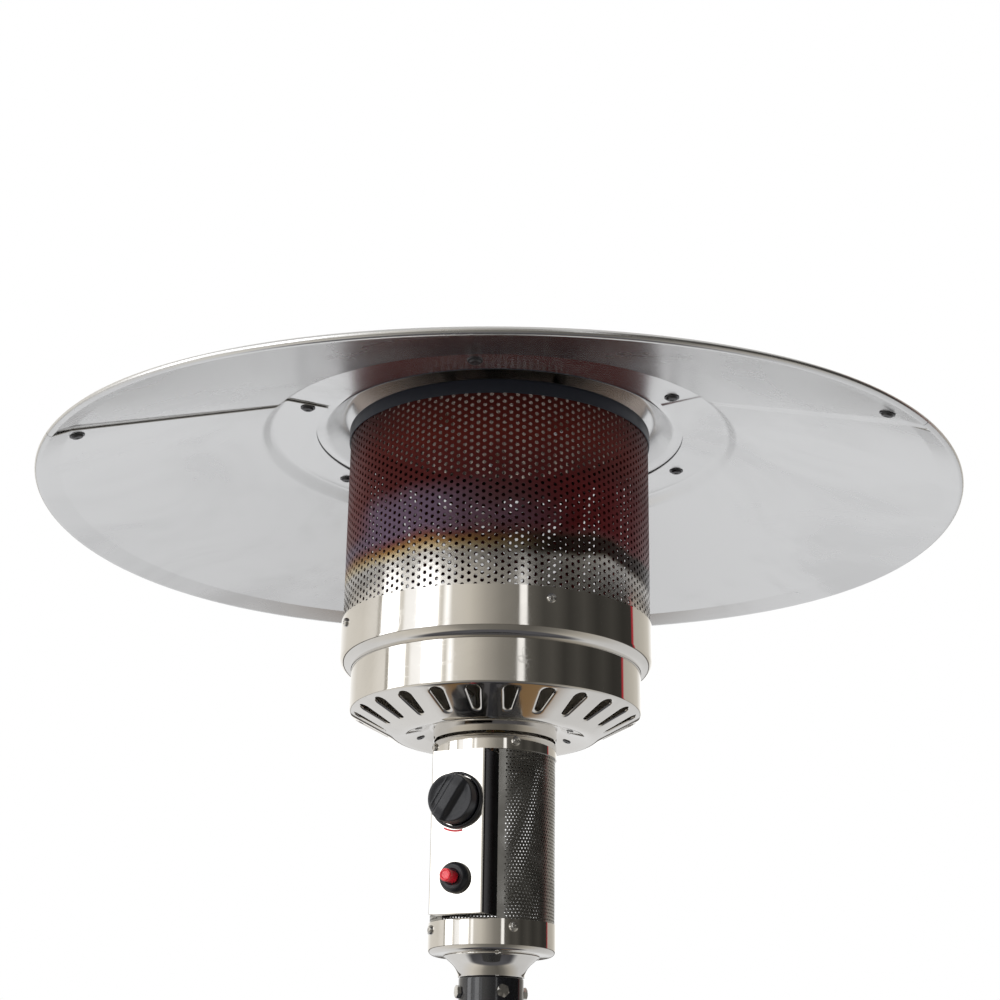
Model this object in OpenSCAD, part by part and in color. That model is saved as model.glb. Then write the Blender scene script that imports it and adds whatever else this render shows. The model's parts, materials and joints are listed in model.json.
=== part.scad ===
// Free-standing outdoor gas heater: a wide three-panel reflector over a perforated emitter,
// on a slim post that rises from a steel housing for the gas bottle.
// Millimetres. The ground is z = 0, the post's axis is x = y = 0 and the controls face -Y.

/* [Reflector] */
// Outer diameter of the reflector
reflector_d = 812.8; // [780:0.1:840]
// Height of the reflector's lowest edge above the ground
rim_z = 2097.4; // [2090:0.1:2105]
// Sheet thickness of the reflector
reflector_t = 0.8; // [0.6:0.1:1.0]
// Azimuth of the first seam between two panels
seam_azimuth = -12.6; // [-20:0.1:-5]

/* [Burner head] */
// Outer diameter of the emitter's perforated screen
emitter_d = 269.2; // [266:0.1:269.2]
// Outer diameter of the upper burner cup
upper_cup_d = 271.8; // [271.8:0.1:273]
// Outer diameter of the lower burner cup
lower_cup_d = 252; // [248:0.5:252]
// Number of air slots round the lower burner cup
slot_count = 24; // [18:1:26]
// Sheet thickness of the cups and the screen
sheet = 1; // [0.8:0.1:1]

/* [Control housing] */
// Outer diameter of the perforated guard
guard_d = 104; // [102:0.5:104]
// Width of the control panel
panel_w = 48.5; // [46:0.5:50]
// Height of the control panel
panel_h = 132.5; // [128:0.5:134]
// Distance of the panel's face from the post's axis
panel_front = 73.3; // [70:0.1:76]
// Travel of the knob when it is pushed in
knob_travel = 3; // [2:0.5:3]
// Travel of the igniter's button
button_travel = 8; // [4:1:8]

/* [Post and base] */
// Outer diameter of the post
post_d = 54; // [52:0.5:54]
// Height of the post's upper end
post_top = 1693; // [1692:0.5:1693]
// Outer diameter of the base
base_d = 457; // [450:1:470]
// Outer diameter of the gas bottle housing
bottle_housing_d = 396; // [392:1:398]
// Height of the gas bottle housing's wall
bottle_housing_h = 770; // [740:5:800]
// Diameter of each transport wheel
wheel_d = 127; // [120:1:127]

/* [Hidden] */
$fn = 96;

eps = 0.01;

// Radii
rim_r = reflector_d / 2;
emitter_r = emitter_d / 2;
upper_cup_r = upper_cup_d / 2;
lower_cup_r = lower_cup_d / 2;
guard_r = guard_d / 2;
collar_r = guard_r + 1.2;
post_r = post_d / 2;
post_wall = 1.3;
base_r = base_d / 2;
bottle_housing_r = bottle_housing_d / 2;
wheel_r = wheel_d / 2;

// Heights, from the post's top upwards
cup_bottom_z = post_top + 18;
cup_top_z = post_top + 43.3;
cup_corner = 5;
collar_z = cup_top_z + 138.9;
collar_top_z = collar_z + 14.2;
dish_neck_z = collar_top_z + 1.1;
dish_low_z = dish_neck_z + 2;
slot_in_z = dish_neck_z + 5;
slot_out_z = dish_neck_z + 21.7;
dish_edge_z = dish_neck_z + 23.3;
lower_wall_z = dish_neck_z + 27.9;
deck_z = dish_neck_z + 81.5;
upper_cup_corner = 11;
upper_cup_fold_z = dish_neck_z + 71.5;
upper_cup_top_z = dish_neck_z + 102.5;
cap_skirt_z = upper_cup_top_z + 167.5;
cap_top_z = cap_skirt_z + 13;

// The reflector's section, from the flat inner flange out to the rim
flange_in_r = 166;
flange_out_r = 206;
step_r = 213.5;
rim_band_r = rim_r - 20.4;
bead_r = 3.2;
tongue_r = rim_r - 2 * bead_r - 0.4; // the raised tongue stops short of its neighbour's bead
rim_band_z = rim_z + 8.6;
step_z = rim_z + 63.6;
flange_z = rim_z + 72;
inner_screw_r = 182.8;
outer_screw_r = 379;
cone_slope = (step_z - rim_band_z) / (rim_band_r - step_r);
outer_screw_z = rim_band_z + cone_slope * (rim_band_r - outer_screw_r);
seam_step = 120;
lap_before = 2.2;  // degrees that a panel's raised tongue reaches back over its neighbour
lap_edge = 2;      // degrees past the seam at which a panel's own sheet ends
lap_joggle = 4.5;  // degrees past the seam at which the tongue drops to the sheet's level
bead_gap = 0.1;    // degrees between one panel's bead and the next
seat_gap = 0.03;   // between a reflector screw's washer and the sheet
cone_gap = 0.07;   // more of it under the cone, where a flat washer meets a curved sheet
washer_r = 6.4;
stud_pitch_r = 60;
disc_flat_r = 140;
disc_slope_r = 158;
disc_r = 200;
disc_top_z = cap_top_z + 15;

// Fasteners
head_azimuth = -47; // the first of four screws round the head, the cups and the post
m4_r = 2;
m5_r = 2.5;
m6_r = 3;
m8_r = 4;
fit = 0.05;

// Screw circles and heights
cup_screw_z = cup_top_z - 6.5;
collar_screw_z = collar_z + 6.5;
emitter_screw_z = upper_cup_top_z - 9.5;
neck_screw_r = 34.5;
head_bolt_z = post_top - 11.5;
dish_screw_r = 66;
dish_screw_azimuths = [42, 192];
stud_azimuths = [0, 120, 240];
inner_screw_azimuths = [for (k = [0 : 5]) seam_azimuth + 60 * k];

// Lower cup
neck_r = collar_r;
slot_in_r = 98.2;
slot_out_r = 116.6;
slot_in_w = 3.1;
slot_out_w = 5.6;

// Burner
mixer_r = 16;
mixer_z = collar_top_z + 14;
bowl_r = 78;
bowl_h = 20;
orifice_z = collar_top_z + 2;
pilot_y = -92;
pilot_z = deck_z + 6;
probe_x = 14; // the thermocouple's tip stands this far right of the pilot, the electrode as far left
probe_y = -86;

// Control panel
panel_bottom_z = cup_top_z + 1.7;
panel_top_z = panel_bottom_z + panel_h;
panel_back = guard_r - 6.5;
knob_z = panel_bottom_z + 90.5;
igniter_z = panel_bottom_z + 28;
valve_top_z = knob_z + 22;
knob_gap = knob_travel + 0.3;
knob_skirt_r = 20.4;
knob_face_r = 19.6;
knob_face = 15.5;   // height of the knob's recessed face above the panel
knob_grip = 19.5;   // height of the grip bar above the panel
knob_angle = 57;    // lean of the grip bar from level in the off position
stem_r = 4;
stem_bore_r = 4.06;
stem_back = 52;
plunger_back = 44;
bezel_r = 12.6;
bezel_front = 8;
button_r = 5.2;
button_bore_r = 5.26;
button_tip = 21;
button_len = 22;
valve_y = -38;
valve_boss_l = 16;
valve_screw_x = 11;
outlet_x = 9;
outlet_y = -25;

// Post and base
post_bottom = 642;
post_bolt_z = post_bottom + 30;
flange_plate_t = 5;
base_sheet = 1.5;
base_top = 31.5;
brim_top = 8;
brim_r = 208;
plateau_r = 201;
brim_hole_r = 215.5;
foot_azimuths = [45, 135, 225, 315];
ground_hole_azimuths = [-90, 30, 150];
leg_azimuths = [-30, 90, 210];
leg_r = 183;
leg_w = 38;
leg_t = 3;
leg_knee_z = 481;
leg_bolt_x = 10;
leg_foot_bolt_r = 169;
leg_top_bolt_r = 54;
bracket_half_w = 75;
bracket_bolt_x = 60;
axle_r = 5;
axle_y = 258;
axle_z = wheel_r + 4.5;
wheel_inner_x = 78;
wheel_w = 22;
axle_half = wheel_inner_x + wheel_w + 6;
housing_z = base_top + 0.3;
housing_top_z = housing_z + bottle_housing_h;
lid_hole_r = post_r + 2.5;
lid_screw_count = 6;
lid_screw_azimuths = [for (k = [0 : lid_screw_count - 1]) 360 / lid_screw_count * (k + 0.5)];
lid_screw_z = housing_top_z - 7;
lid_skirt = 12;
lid_rise = 22;
vent_count = 8;
vent_w = 44;
vent_h = 6;

black = [0.07, 0.07, 0.075];
steel = [0.78, 0.77, 0.74];
alu = [0.8, 0.8, 0.8];
brass = [0.8, 0.62, 0.3];

// ---- Shared shapes ----

// A ring of constant section, from z0 to z1
module ring(r_out, r_in, z0, z1) {
  translate([0, 0, z0]) difference() {
    cylinder(r = r_out, h = z1 - z0);
    translate([0, 0, -1]) cylinder(r = r_in, h = z1 - z0 + 2);
  }
}

// A closed sheet section that follows a list of [r, z] points, t thick upwards
function sheet_section(path, t) = concat(
  path,
  [for (i = [len(path) - 1 : -1 : 0]) [path[i][0], path[i][1] + t]]
);

// Points of a circular arc round centre c
function arc(c, r, a0, a1, steps) = [
  for (i = [0 : steps]) let (a = a0 + (a1 - a0) * i / steps) c + r * [cos(a), sin(a)]
];

// A radial copy of the children, pointing outwards along +X at each azimuth
module round_copies(azimuths) {
  for (a = azimuths) rotate([0, 0, a]) children();
}

// Four evenly spaced azimuths of the head's screws
function head_azimuths() = [for (k = [0 : 3]) head_azimuth + 90 * k];

// A pan-head screw whose head rests on x = 0 and whose shank runs inwards
module radial_screw(r, shank, head_r, head_h) {
  rotate([0, 90, 0]) {
    translate([0, 0, -shank]) cylinder(r = r, h = shank + eps);
    cylinder(r = head_r, h = head_h * 0.4);
    translate([0, 0, head_h * 0.4]) cylinder(r1 = head_r, r2 = head_r * 0.6, h = head_h * 0.6);
  }
}

// A radial hole through a wall of radius about r_wall, at height z
module radial_hole(r, r_wall, z) {
  translate([r_wall - 8, 0, z]) rotate([0, 90, 0]) cylinder(r = r, h = 16);
}

// An upright hexagon nut or head between z0 and z1
module hexagon(across, z0, z1) {
  translate([0, 0, z0]) cylinder(r = across / sqrt(3), h = z1 - z0, $fn = 6);
}

// A rod of radius r that rises from p0, runs level at run_z and rises again to p1
module s_bend(p0, p1, run_z, r, bend) {
  d = [p1[0] - p0[0], p1[1] - p0[1]];
  run = norm(d);
  translate([p0[0], p0[1], 0]) rotate([0, 0, atan2(d[1], d[0])]) {
    translate([0, 0, p0[2]]) cylinder(r = r, h = run_z - bend - p0[2]);
    translate([bend, 0, run_z - bend]) rotate([90, 0, 0]) rotate([0, 0, 90])
      rotate_extrude(angle = 90) translate([bend, 0]) circle(r = r);
    translate([bend, 0, run_z]) rotate([0, 90, 0]) cylinder(r = r, h = run - 2 * bend);
    translate([run - bend, 0, run_z + bend]) rotate([90, 0, 0]) rotate([0, 0, -90])
      rotate_extrude(angle = 90) translate([bend, 0]) circle(r = r);
    translate([run, 0, run_z + bend]) cylinder(r = r, h = p1[2] - run_z - bend);
  }
}

// ---- Reflector ----

// One panel's sheet section out to out_r, raised by lift and made thick upwards
module panel_section(lift, thick, inset, out_r) {
  rim_slope = (rim_band_z - rim_z - 1) / (rim_r - bead_r - rim_band_r);
  translate([0, lift]) polygon(sheet_section([
    [flange_in_r + inset, flange_z], [flange_out_r, flange_z], [step_r, step_z],
    [rim_band_r, rim_band_z], [out_r, rim_band_z - (out_r - rim_band_r) * rim_slope]
  ], thick));
}

// Places its children on the cone at an outer seam screw, with Z along the sheet's normal
module at_outer_screw(azimuth) {
  rotate([0, 0, azimuth]) translate([outer_screw_r, 0, outer_screw_z])
    rotate([0, atan(cone_slope), 0]) children();
}

// A panel runs from one seam to the next; past the joggle its first edge lies on its neighbour
module reflector_panel(k) {
  seam = seam_azimuth + seam_step * (k - 1);
  joggle_w = 0.3;
  main_start = seam + lap_joggle + 0.05;
  main_sweep = seam_step + lap_edge - lap_joggle - 0.05;
  color(alu) difference() {
    union() {
      rotate([0, 0, main_start]) rotate_extrude(angle = main_sweep)
        panel_section(0, reflector_t, 0, rim_r - bead_r);
      rotate([0, 0, seam + lap_edge + bead_gap]) rotate_extrude(angle = seam_step - bead_gap)
        translate([rim_r - bead_r, rim_z + bead_r]) circle(r = bead_r, $fn = 32);
      rotate([0, 0, seam + lap_joggle - joggle_w]) rotate_extrude(angle = 2 * joggle_w)
        panel_section(0.1, 2 * reflector_t - 0.2, 0.1, tongue_r - 0.1);
      rotate([0, 0, seam - lap_before]) rotate_extrude(angle = lap_before + lap_joggle - 0.05)
        panel_section(reflector_t, reflector_t, 0, tongue_r);
    }
    for (a = [seam, seam + seam_step / 2, seam + seam_step]) rotate([0, 0, a])
      translate([inner_screw_r, 0, flange_z - 5]) cylinder(r = m5_r + fit, h = 10);
    for (a = [seam, seam + seam_step]) at_outer_screw(a)
      translate([0, 0, -5]) cylinder(r = m5_r + fit, h = 10);
  }
}

module reflector_centre_disc() {
  bottom = flange_z + 2 * reflector_t;
  color(alu) difference() {
    rotate_extrude() polygon(sheet_section([
      [0, disc_top_z], [disc_flat_r, disc_top_z], [disc_slope_r, bottom], [disc_r, bottom]
    ], reflector_t));
    round_copies(stud_azimuths) translate([stud_pitch_r, 0, disc_top_z - 5])
      cylinder(r = m8_r + 0.2, h = 10);
    round_copies(inner_screw_azimuths) translate([inner_screw_r, 0, bottom - 5])
      cylinder(r = m5_r + fit, h = 10);
  }
}

// A flanged button-head screw, its head just below z = 0, that clamps grip and reaches 7 into its nut
module button_screw(grip) {
  translate([0, 0, -1]) cylinder(r = m5_r, h = grip + 8);
  translate([0, 0, -0.8 - seat_gap]) cylinder(r = washer_r, h = 0.8);
  translate([0, 0, -2.8 - seat_gap]) cylinder(r1 = 3, r2 = 4.8, h = 2 + eps);
}

module reflector_screws() {
  color("dimgray") {
    round_copies(inner_screw_azimuths)
      translate([inner_screw_r, 0, flange_z]) button_screw(3 * reflector_t);
    for (k = [0 : 2]) at_outer_screw(seam_azimuth + seam_step * k)
      translate([0, 0, -cone_gap]) button_screw(2 * reflector_t);
  }
}

// A domed nut standing on z = 0, with a blind thread for its screw
module domed_nut() {
  difference() {
    union() {
      hexagon(8, 0, 4.5);
      translate([0, 0, 4.5]) cylinder(r1 = 3.9, r2 = 2.6, h = 4);
    }
    translate([0, 0, -1]) cylinder(r = m5_r + fit, h = 8.2);
  }
}

module reflector_nuts() {
  color("silver") {
    round_copies(inner_screw_azimuths)
      translate([inner_screw_r, 0, flange_z + 3 * reflector_t]) domed_nut();
    for (k = [0 : 2]) at_outer_screw(seam_azimuth + seam_step * k)
      translate([0, 0, 2 * reflector_t]) domed_nut();
  }
}

module reflector_studs() {
  color("silver") round_copies(stud_azimuths) translate([stud_pitch_r, 0, 0]) {
    hexagon(13, cap_top_z - sheet - 5.5, cap_top_z - sheet);
    translate([0, 0, cap_top_z - sheet - eps]) cylinder(r = m8_r, h = 42);
  }
}

module stud_spacers() {
  color("silver") round_copies(stud_azimuths) translate([stud_pitch_r, 0, 0])
    ring(7.5, m8_r + 0.2, cap_top_z, disc_top_z);
}

module wing_nuts() {
  foot = disc_top_z + reflector_t;
  color("silver") round_copies(stud_azimuths) translate([stud_pitch_r, 0, foot]) difference() {
    union() {
      cylinder(r = 9, h = 1.4);
      cylinder(r1 = 7, r2 = 5.6, h = 10);
      for (s = [-1, 1]) translate([s * 10, 0, 8.5]) rotate([90, 0, 0])
        translate([0, 0, -1.4]) cylinder(r = 6.5, h = 2.8);
    }
    translate([0, 0, -1]) cylinder(r = m8_r + fit, h = 20);
  }
}

// ---- Emitter and burner ----

module emitter_top_cap() {
  color(black) difference() {
    rotate_extrude() polygon([
      [0, cap_top_z - sheet], [emitter_r + 0.3, cap_top_z - sheet], [emitter_r + 0.3, cap_skirt_z],
      [upper_cup_r, cap_skirt_z], [upper_cup_r, cap_top_z - 1], [upper_cup_r - 1, cap_top_z],
      [0, cap_top_z]
    ]);
    round_copies(stud_azimuths) translate([stud_pitch_r, 0, cap_top_z - 5])
      cylinder(r = m8_r + fit, h = 10);
  }
}

module emitter_screen() {
  color([0.45, 0.25, 0.22]) difference() {
    ring(emitter_r, emitter_r - sheet, deck_z + sheet, cap_top_z - sheet);
    round_copies(head_azimuths()) radial_hole(m4_r + fit, emitter_r, emitter_screw_z);
  }
}

module emitter_screws() {
  color("silver") round_copies(head_azimuths())
    translate([upper_cup_r, 0, emitter_screw_z]) radial_screw(m4_r, 6, 4, 2.4);
}

module burner_cup_upper() {
  outer = arc([upper_cup_r - upper_cup_corner, upper_cup_fold_z], upper_cup_corner, 0, -82, 8);
  inner = arc([upper_cup_r - upper_cup_corner, upper_cup_fold_z], upper_cup_corner - sheet, -82, 0, 8);
  color(steel) difference() {
    rotate_extrude() polygon(concat(
      [[upper_cup_r - sheet, upper_cup_top_z], [upper_cup_r, upper_cup_top_z]], outer, inner
    ));
    round_copies(head_azimuths()) radial_hole(m4_r + fit, upper_cup_r, emitter_screw_z);
  }
}

// The lower cup's outer section: neck, dished floor, rounded corner and wall
lower_cup_path = [
  [neck_r, dish_neck_z], [neck_r, dish_neck_z + 11], [neck_r + 2.5, dish_neck_z + 13],
  [60, dish_neck_z + 9.5], [74, dish_neck_z + 4], [85, dish_low_z], [91, slot_in_z],
  [lower_cup_r - 3.4, slot_out_z], [lower_cup_r - 1.6, dish_edge_z],
  [lower_cup_r - 0.4, dish_edge_z + 2.2], [lower_cup_r, lower_wall_z], [lower_cup_r, deck_z]
];
lower_cup_inner = [
  [lower_cup_r - sheet, deck_z], [lower_cup_r - sheet, lower_wall_z + 0.3],
  [lower_cup_r - 1.4, dish_edge_z + 2.7], [lower_cup_r - 2.4, dish_edge_z + 0.9],
  [lower_cup_r - 3.9, slot_out_z + 0.9], [90.6, slot_in_z + 0.9],
  [85, dish_low_z + 1.1], [74.2, dish_neck_z + 5.1], [60.2, dish_neck_z + 10.5],
  [neck_r + 2.3, dish_neck_z + 14], [neck_r - sheet, dish_neck_z + 11.6],
  [neck_r - sheet, dish_neck_z]
];

// An air slot seen from above: a rounded bar that is wider on its outer side
module air_slot() {
  translate([0, 0, dish_neck_z - 1]) linear_extrude(height = 30)
    polygon(concat(arc([slot_in_r, 0], slot_in_w, 90, 270, 6), arc([slot_out_r, 0], slot_out_w, -90, 90, 8)));
}

module burner_cup_lower() {
  color(steel) difference() {
    rotate_extrude() polygon(concat(lower_cup_path, lower_cup_inner));
    round_copies([for (k = [0 : slot_count - 1]) 360 / slot_count * k]) air_slot();
    round_copies(dish_screw_azimuths) translate([dish_screw_r, 0, dish_neck_z])
      cylinder(r = m4_r + fit, h = 20);
  }
}

module dish_screws() {
  color("dimgray") round_copies(dish_screw_azimuths) translate([dish_screw_r, 0, dish_neck_z + 5.4]) {
    translate([0, 0, -1]) cylinder(r = m4_r, h = 10);
    translate([0, 0, -2.3]) cylinder(r1 = 3, r2 = 3.9, h = 2.1);
  }
}

module burner_deck() {
  color(steel) difference() {
    ring(emitter_r + 0.1, 45, deck_z, deck_z + sheet);
    translate([0, pilot_y, deck_z - 5]) cylinder(r = 5, h = 10);
    for (x = [-probe_x, probe_x]) translate([x, probe_y, deck_z - 5]) cylinder(r = 3.6, h = 10);
  }
}

// A pressed bowl on the deck with its air mixing tube hanging below
module burner_bowl() {
  color(steel) rotate_extrude() polygon([
    [mixer_r, mixer_z], [mixer_r, deck_z - 12], [mixer_r + 6, deck_z - 3], [44, deck_z - 3],
    [44, deck_z + sheet], [bowl_r, deck_z + sheet], [bowl_r, deck_z + bowl_h], [bowl_r - 1, deck_z + bowl_h],
    [bowl_r - 1, deck_z + 2 * sheet], [43, deck_z + 2 * sheet], [43, deck_z - 2], [mixer_r + 5.5, deck_z - 2],
    [mixer_r - 1, deck_z - 11.6], [mixer_r - 1, mixer_z]
  ]);
}

module burner_plate() {
  color("dimgray") difference() {
    translate([0, 0, deck_z + bowl_h]) cylinder(r = bowl_r, h = sheet);
    for (ring_no = [1 : 4], k = [0 : ring_no * 6 - 1]) rotate([0, 0, 360 / (ring_no * 6) * k])
      translate([ring_no * 16, 0, deck_z + bowl_h - 1]) cylinder(r = 2, h = 3, $fn = 24);
  }
}

module gas_orifice() {
  color(brass) difference() {
    union() {
      hexagon(16, orifice_z, orifice_z + 9);
      translate([0, 0, orifice_z + 9]) cylinder(r1 = 6, r2 = 3.5, h = 8);
    }
    translate([0, 0, orifice_z - 1]) cylinder(r = m4_r, h = 14);
    translate([0, 0, orifice_z + 12]) cylinder(r = 0.8, h = 8);
  }
}

module main_gas_tube() {
  color(alu) s_bend([0, valve_y + 8, valve_top_z], [0, 0, orifice_z], collar_z - 4, 3.5, 8);
}

module pilot_tube() {
  color(alu) s_bend([-outlet_x, outlet_y, valve_top_z], [0, pilot_y, pilot_z], dish_neck_z + 36, 2, 8);
}

// A small hooded jet on a foot that bridges the deck
module pilot_burner() {
  color(brass) translate([0, pilot_y, 0]) difference() {
    union() {
      translate([0, 0, pilot_z]) cylinder(r = 5, h = 20);
      translate([-19, -8, pilot_z]) cube([38, 18, 1.2]);
      for (x = [-19, 17.8]) translate([x, -8, deck_z + sheet])
        cube([1.2, 18, pilot_z - deck_z - sheet + eps]);
    }
    translate([0, 0, pilot_z + 12]) cylinder(r = 3.6, h = 12);
    translate([0, 6, pilot_z + 15]) cube([3, 8, 6], center = true);
    for (x = [-probe_x, probe_x]) translate([x, probe_y - pilot_y, pilot_z - 1]) cylinder(r = 3.2, h = 4);
  }
}

module thermocouple() {
  color([0.72, 0.45, 0.3]) {
    translate([probe_x, probe_y, deck_z - 8]) cylinder(r = 2.4, h = 38);
    s_bend([outlet_x, outlet_y, valve_top_z], [probe_x, probe_y, deck_z - 8], dish_neck_z + 44, 1.2, 6);
  }
}

module ignition_electrode() {
  color([0.92, 0.9, 0.85]) {
    translate([-probe_x, probe_y, deck_z - 12]) cylinder(r = 3, h = 32);
    translate([-probe_x, probe_y, deck_z + 20 - eps]) cylinder(r = 0.9, h = 12);
    translate([-probe_x, probe_y, deck_z - 20]) cylinder(r = 1.2, h = 8 + eps);
  }
}

// ---- Control housing ----

module housing_collar() {
  outer = arc([collar_r - 4, collar_top_z - 4], 4, 0, 90, 6);
  inner = arc([collar_r - 4, collar_top_z - 4], 4 - sheet, 90, 0, 6);
  color(steel) difference() {
    rotate_extrude() polygon(concat(
      [[collar_r - sheet, collar_z], [collar_r, collar_z]], outer,
      [[34, collar_top_z], [34, collar_top_z - sheet]], inner
    ));
    round_copies(head_azimuths()) radial_hole(m4_r + fit, collar_r, collar_screw_z);
  }
}

module perforated_guard() {
  window_half = panel_w / 2 + 0.2;
  low = cup_top_z - 12;
  high = collar_z + 9;
  color([0.42, 0.41, 0.39]) difference() {
    ring(guard_r, guard_r - 0.8, low, high);
    translate([-window_half, -guard_r - 5, panel_bottom_z - 0.5])
      cube([2 * window_half, guard_r, panel_h + 1]);
    round_copies(head_azimuths()) {
      radial_hole(m4_r + fit, guard_r, collar_screw_z);
      radial_hole(m4_r + fit, guard_r, cup_screw_z);
    }
  }
}

module control_panel() {
  half = panel_w / 2;
  color(steel) difference() {
    union() {
      translate([-half, -panel_front, panel_bottom_z]) cube([panel_w, sheet, panel_h]);
      for (x = [-half, half - sheet]) translate([x, -panel_front, panel_bottom_z])
        cube([sheet, panel_front - panel_back, panel_h]);
      difference() {
        for (z = [panel_bottom_z, panel_top_z - sheet]) translate([-half, -panel_front, z])
          cube([panel_w, panel_front - panel_back, sheet]);
        translate([0, 0, panel_bottom_z - 1]) cylinder(r = guard_r + 0.3, h = panel_h + 2);
      }
    }
    translate([0, -panel_front - 5, knob_z]) rotate([-90, 0, 0]) cylinder(r = 8, h = 10);
    translate([0, -panel_front - 5, igniter_z]) rotate([-90, 0, 0]) cylinder(r = 9.1, h = 10);
    for (x = [-valve_screw_x, valve_screw_x]) translate([x, -panel_front - 5, knob_z]) rotate([-90, 0, 0])
      cylinder(r = m4_r + fit, h = 10);
  }
}

module housing_bottom_cup() {
  centre = [collar_r - cup_corner, cup_bottom_z + cup_corner];
  outer = arc(centre, cup_corner, -90, 0, 6);
  inner = arc(centre, cup_corner - sheet, 0, -90, 6);
  color(steel) difference() {
    rotate_extrude() polygon(concat(
      [[26, cup_bottom_z + sheet], [26, cup_bottom_z]], outer,
      [[collar_r, cup_top_z], [collar_r - sheet, cup_top_z]], inner
    ));
    round_copies(head_azimuths()) radial_hole(m4_r + fit, collar_r, cup_screw_z);
    round_copies(head_azimuths()) translate([neck_screw_r, 0, cup_bottom_z - 3])
      cylinder(r = m4_r + fit, h = 8);
  }
}

module housing_screws() {
  color("silver") round_copies(head_azimuths()) for (z = [collar_screw_z, cup_screw_z])
    translate([collar_r, 0, z]) radial_screw(m4_r, 5, 4, 2.6);
}

// The head's neck: a flared collar under the cup that ends in a tube inside the post
module neck_tube() {
  tube_r = post_r - post_wall - 0.2;
  flare_top = cup_bottom_z;
  color(steel) difference() {
    rotate_extrude() polygon([
      [tube_r - 1.1, post_top - 55], [tube_r, post_top - 55], [tube_r, post_top],
      [tube_r + 1.6, post_top + 0.3], [post_r + 0.9, post_top + 3], [post_r + 1.7, post_top + 6],
      [post_r + 3.2, post_top + 9], [post_r + 5.6, post_top + 12], [post_r + 9.2, post_top + 15],
      [post_r + 13, flare_top - 1], [post_r + 13, flare_top],
      [tube_r - 1.1, flare_top], [tube_r - 1.1, flare_top - 4]
    ]);
    round_copies(head_azimuths()) {
      radial_hole(m6_r + fit, tube_r, head_bolt_z);
      translate([neck_screw_r, 0, flare_top - 8]) cylinder(r = m4_r + fit, h = 12);
    }
  }
}

module neck_screws() {
  color("silver") round_copies(head_azimuths()) translate([neck_screw_r, 0, cup_bottom_z + sheet]) {
    translate([0, 0, -sheet - 2.2]) cylinder(r = m4_r, h = sheet + 2.3);
    cylinder(r1 = 3.8, r2 = 2.6, h = 2.2);
  }
}

// A tip-over switch in its box on the cup's floor
module tilt_switch() {
  color("ivory") {
    translate([-11, 20, cup_bottom_z + sheet]) cube([22, 16, 24]);
    translate([-4, 25, cup_bottom_z + sheet + 24 - eps]) cube([1, 6, 7]);
    translate([3, 25, cup_bottom_z + sheet + 24 - eps]) cube([1, 6, 7]);
  }
}

// ---- Valve, knob and igniter ----

// Lays a shape that is drawn upwards along the panel's outward normal, at height z
module on_panel(z) {
  translate([0, -panel_front, z]) rotate([90, 0, 0]) children();
}

module gas_valve() {
  back = panel_front - sheet;
  color([0.75, 0.73, 0.68]) difference() {
    union() {
      translate([0, -back, knob_z]) rotate([-90, 0, 0]) cylinder(r = 13.5, h = valve_boss_l);
      translate([-15, -back + valve_boss_l - eps, knob_z - 20]) cube([30, 32, 42]);
      translate([0, valve_y, knob_z - 20 - valve_boss_l]) cylinder(r = 7.9, h = valve_boss_l + eps);
    }
    translate([0, -back - 1, knob_z]) rotate([-90, 0, 0])
      cylinder(r = stem_bore_r, h = back + 1 - plunger_back + knob_travel + 3);
    for (x = [-valve_screw_x, valve_screw_x]) translate([x, -back - 1, knob_z]) rotate([-90, 0, 0])
      cylinder(r = m4_r, h = 9);
    translate([0, valve_y, knob_z - 37]) cylinder(r = 4, h = 16);
  }
}

module valve_screws() {
  color("silver") for (x = [-valve_screw_x, valve_screw_x]) translate([x, 0, 0]) on_panel(knob_z) {
    translate([0, 0, -8]) cylinder(r = m4_r - fit, h = 8 + eps);
    cylinder(r1 = 3.2, r2 = 2.4, h = 1.6);
  }
}

module valve_plunger() {
  color(brass) on_panel(knob_z) translate([0, 0, -(panel_front - plunger_back)])
    cylinder(r = stem_r, h = stem_back - plunger_back - 0.1);
}

module valve_stem() {
  length = stem_back - panel_front; // negative: behind the panel's face
  color("silver") on_panel(knob_z) {
    translate([0, 0, length]) cylinder(r = stem_r, h = -length + 4);
    translate([0, 0, 4 - eps]) cylinder(r = 3, h = 9);
  }
}

module knob() {
  color(black) on_panel(knob_z) difference() {
    union() {
      translate([0, 0, knob_gap]) cylinder(r = knob_skirt_r, h = 5);
      translate([0, 0, knob_gap + 5 - eps])
        cylinder(r1 = knob_skirt_r, r2 = knob_face_r, h = knob_face - knob_gap - 5);
      intersection() {
        translate([0, 0, knob_face - 1]) cylinder(r = knob_face_r, h = knob_grip - knob_face + 1);
        rotate([90, 0, knob_angle]) translate([0, 0, -knob_face_r])
          linear_extrude(height = 2 * knob_face_r)
            polygon([[-8, knob_face - 1], [8, knob_face - 1], [4.6, knob_grip], [-4.6, knob_grip]]);
      }
    }
    difference() {
      translate([0, 0, knob_gap - 1]) cylinder(r = knob_skirt_r - 2, h = 9);
      translate([0, 0, knob_gap - 2]) cylinder(r = 6.5, h = 12);
    }
    cylinder(r = stem_r + 0.3, h = 5);
    translate([0, 0, 4]) cylinder(r = 3.02, h = 9.4);
  }
}

module knob_escutcheon() {
  color(black) on_panel(knob_z) rotate_extrude() polygon([
    [21, 0], [23.2, 0], [23.2, 2.2], [22.2, 4], [21, 4]
  ]);
}

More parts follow.
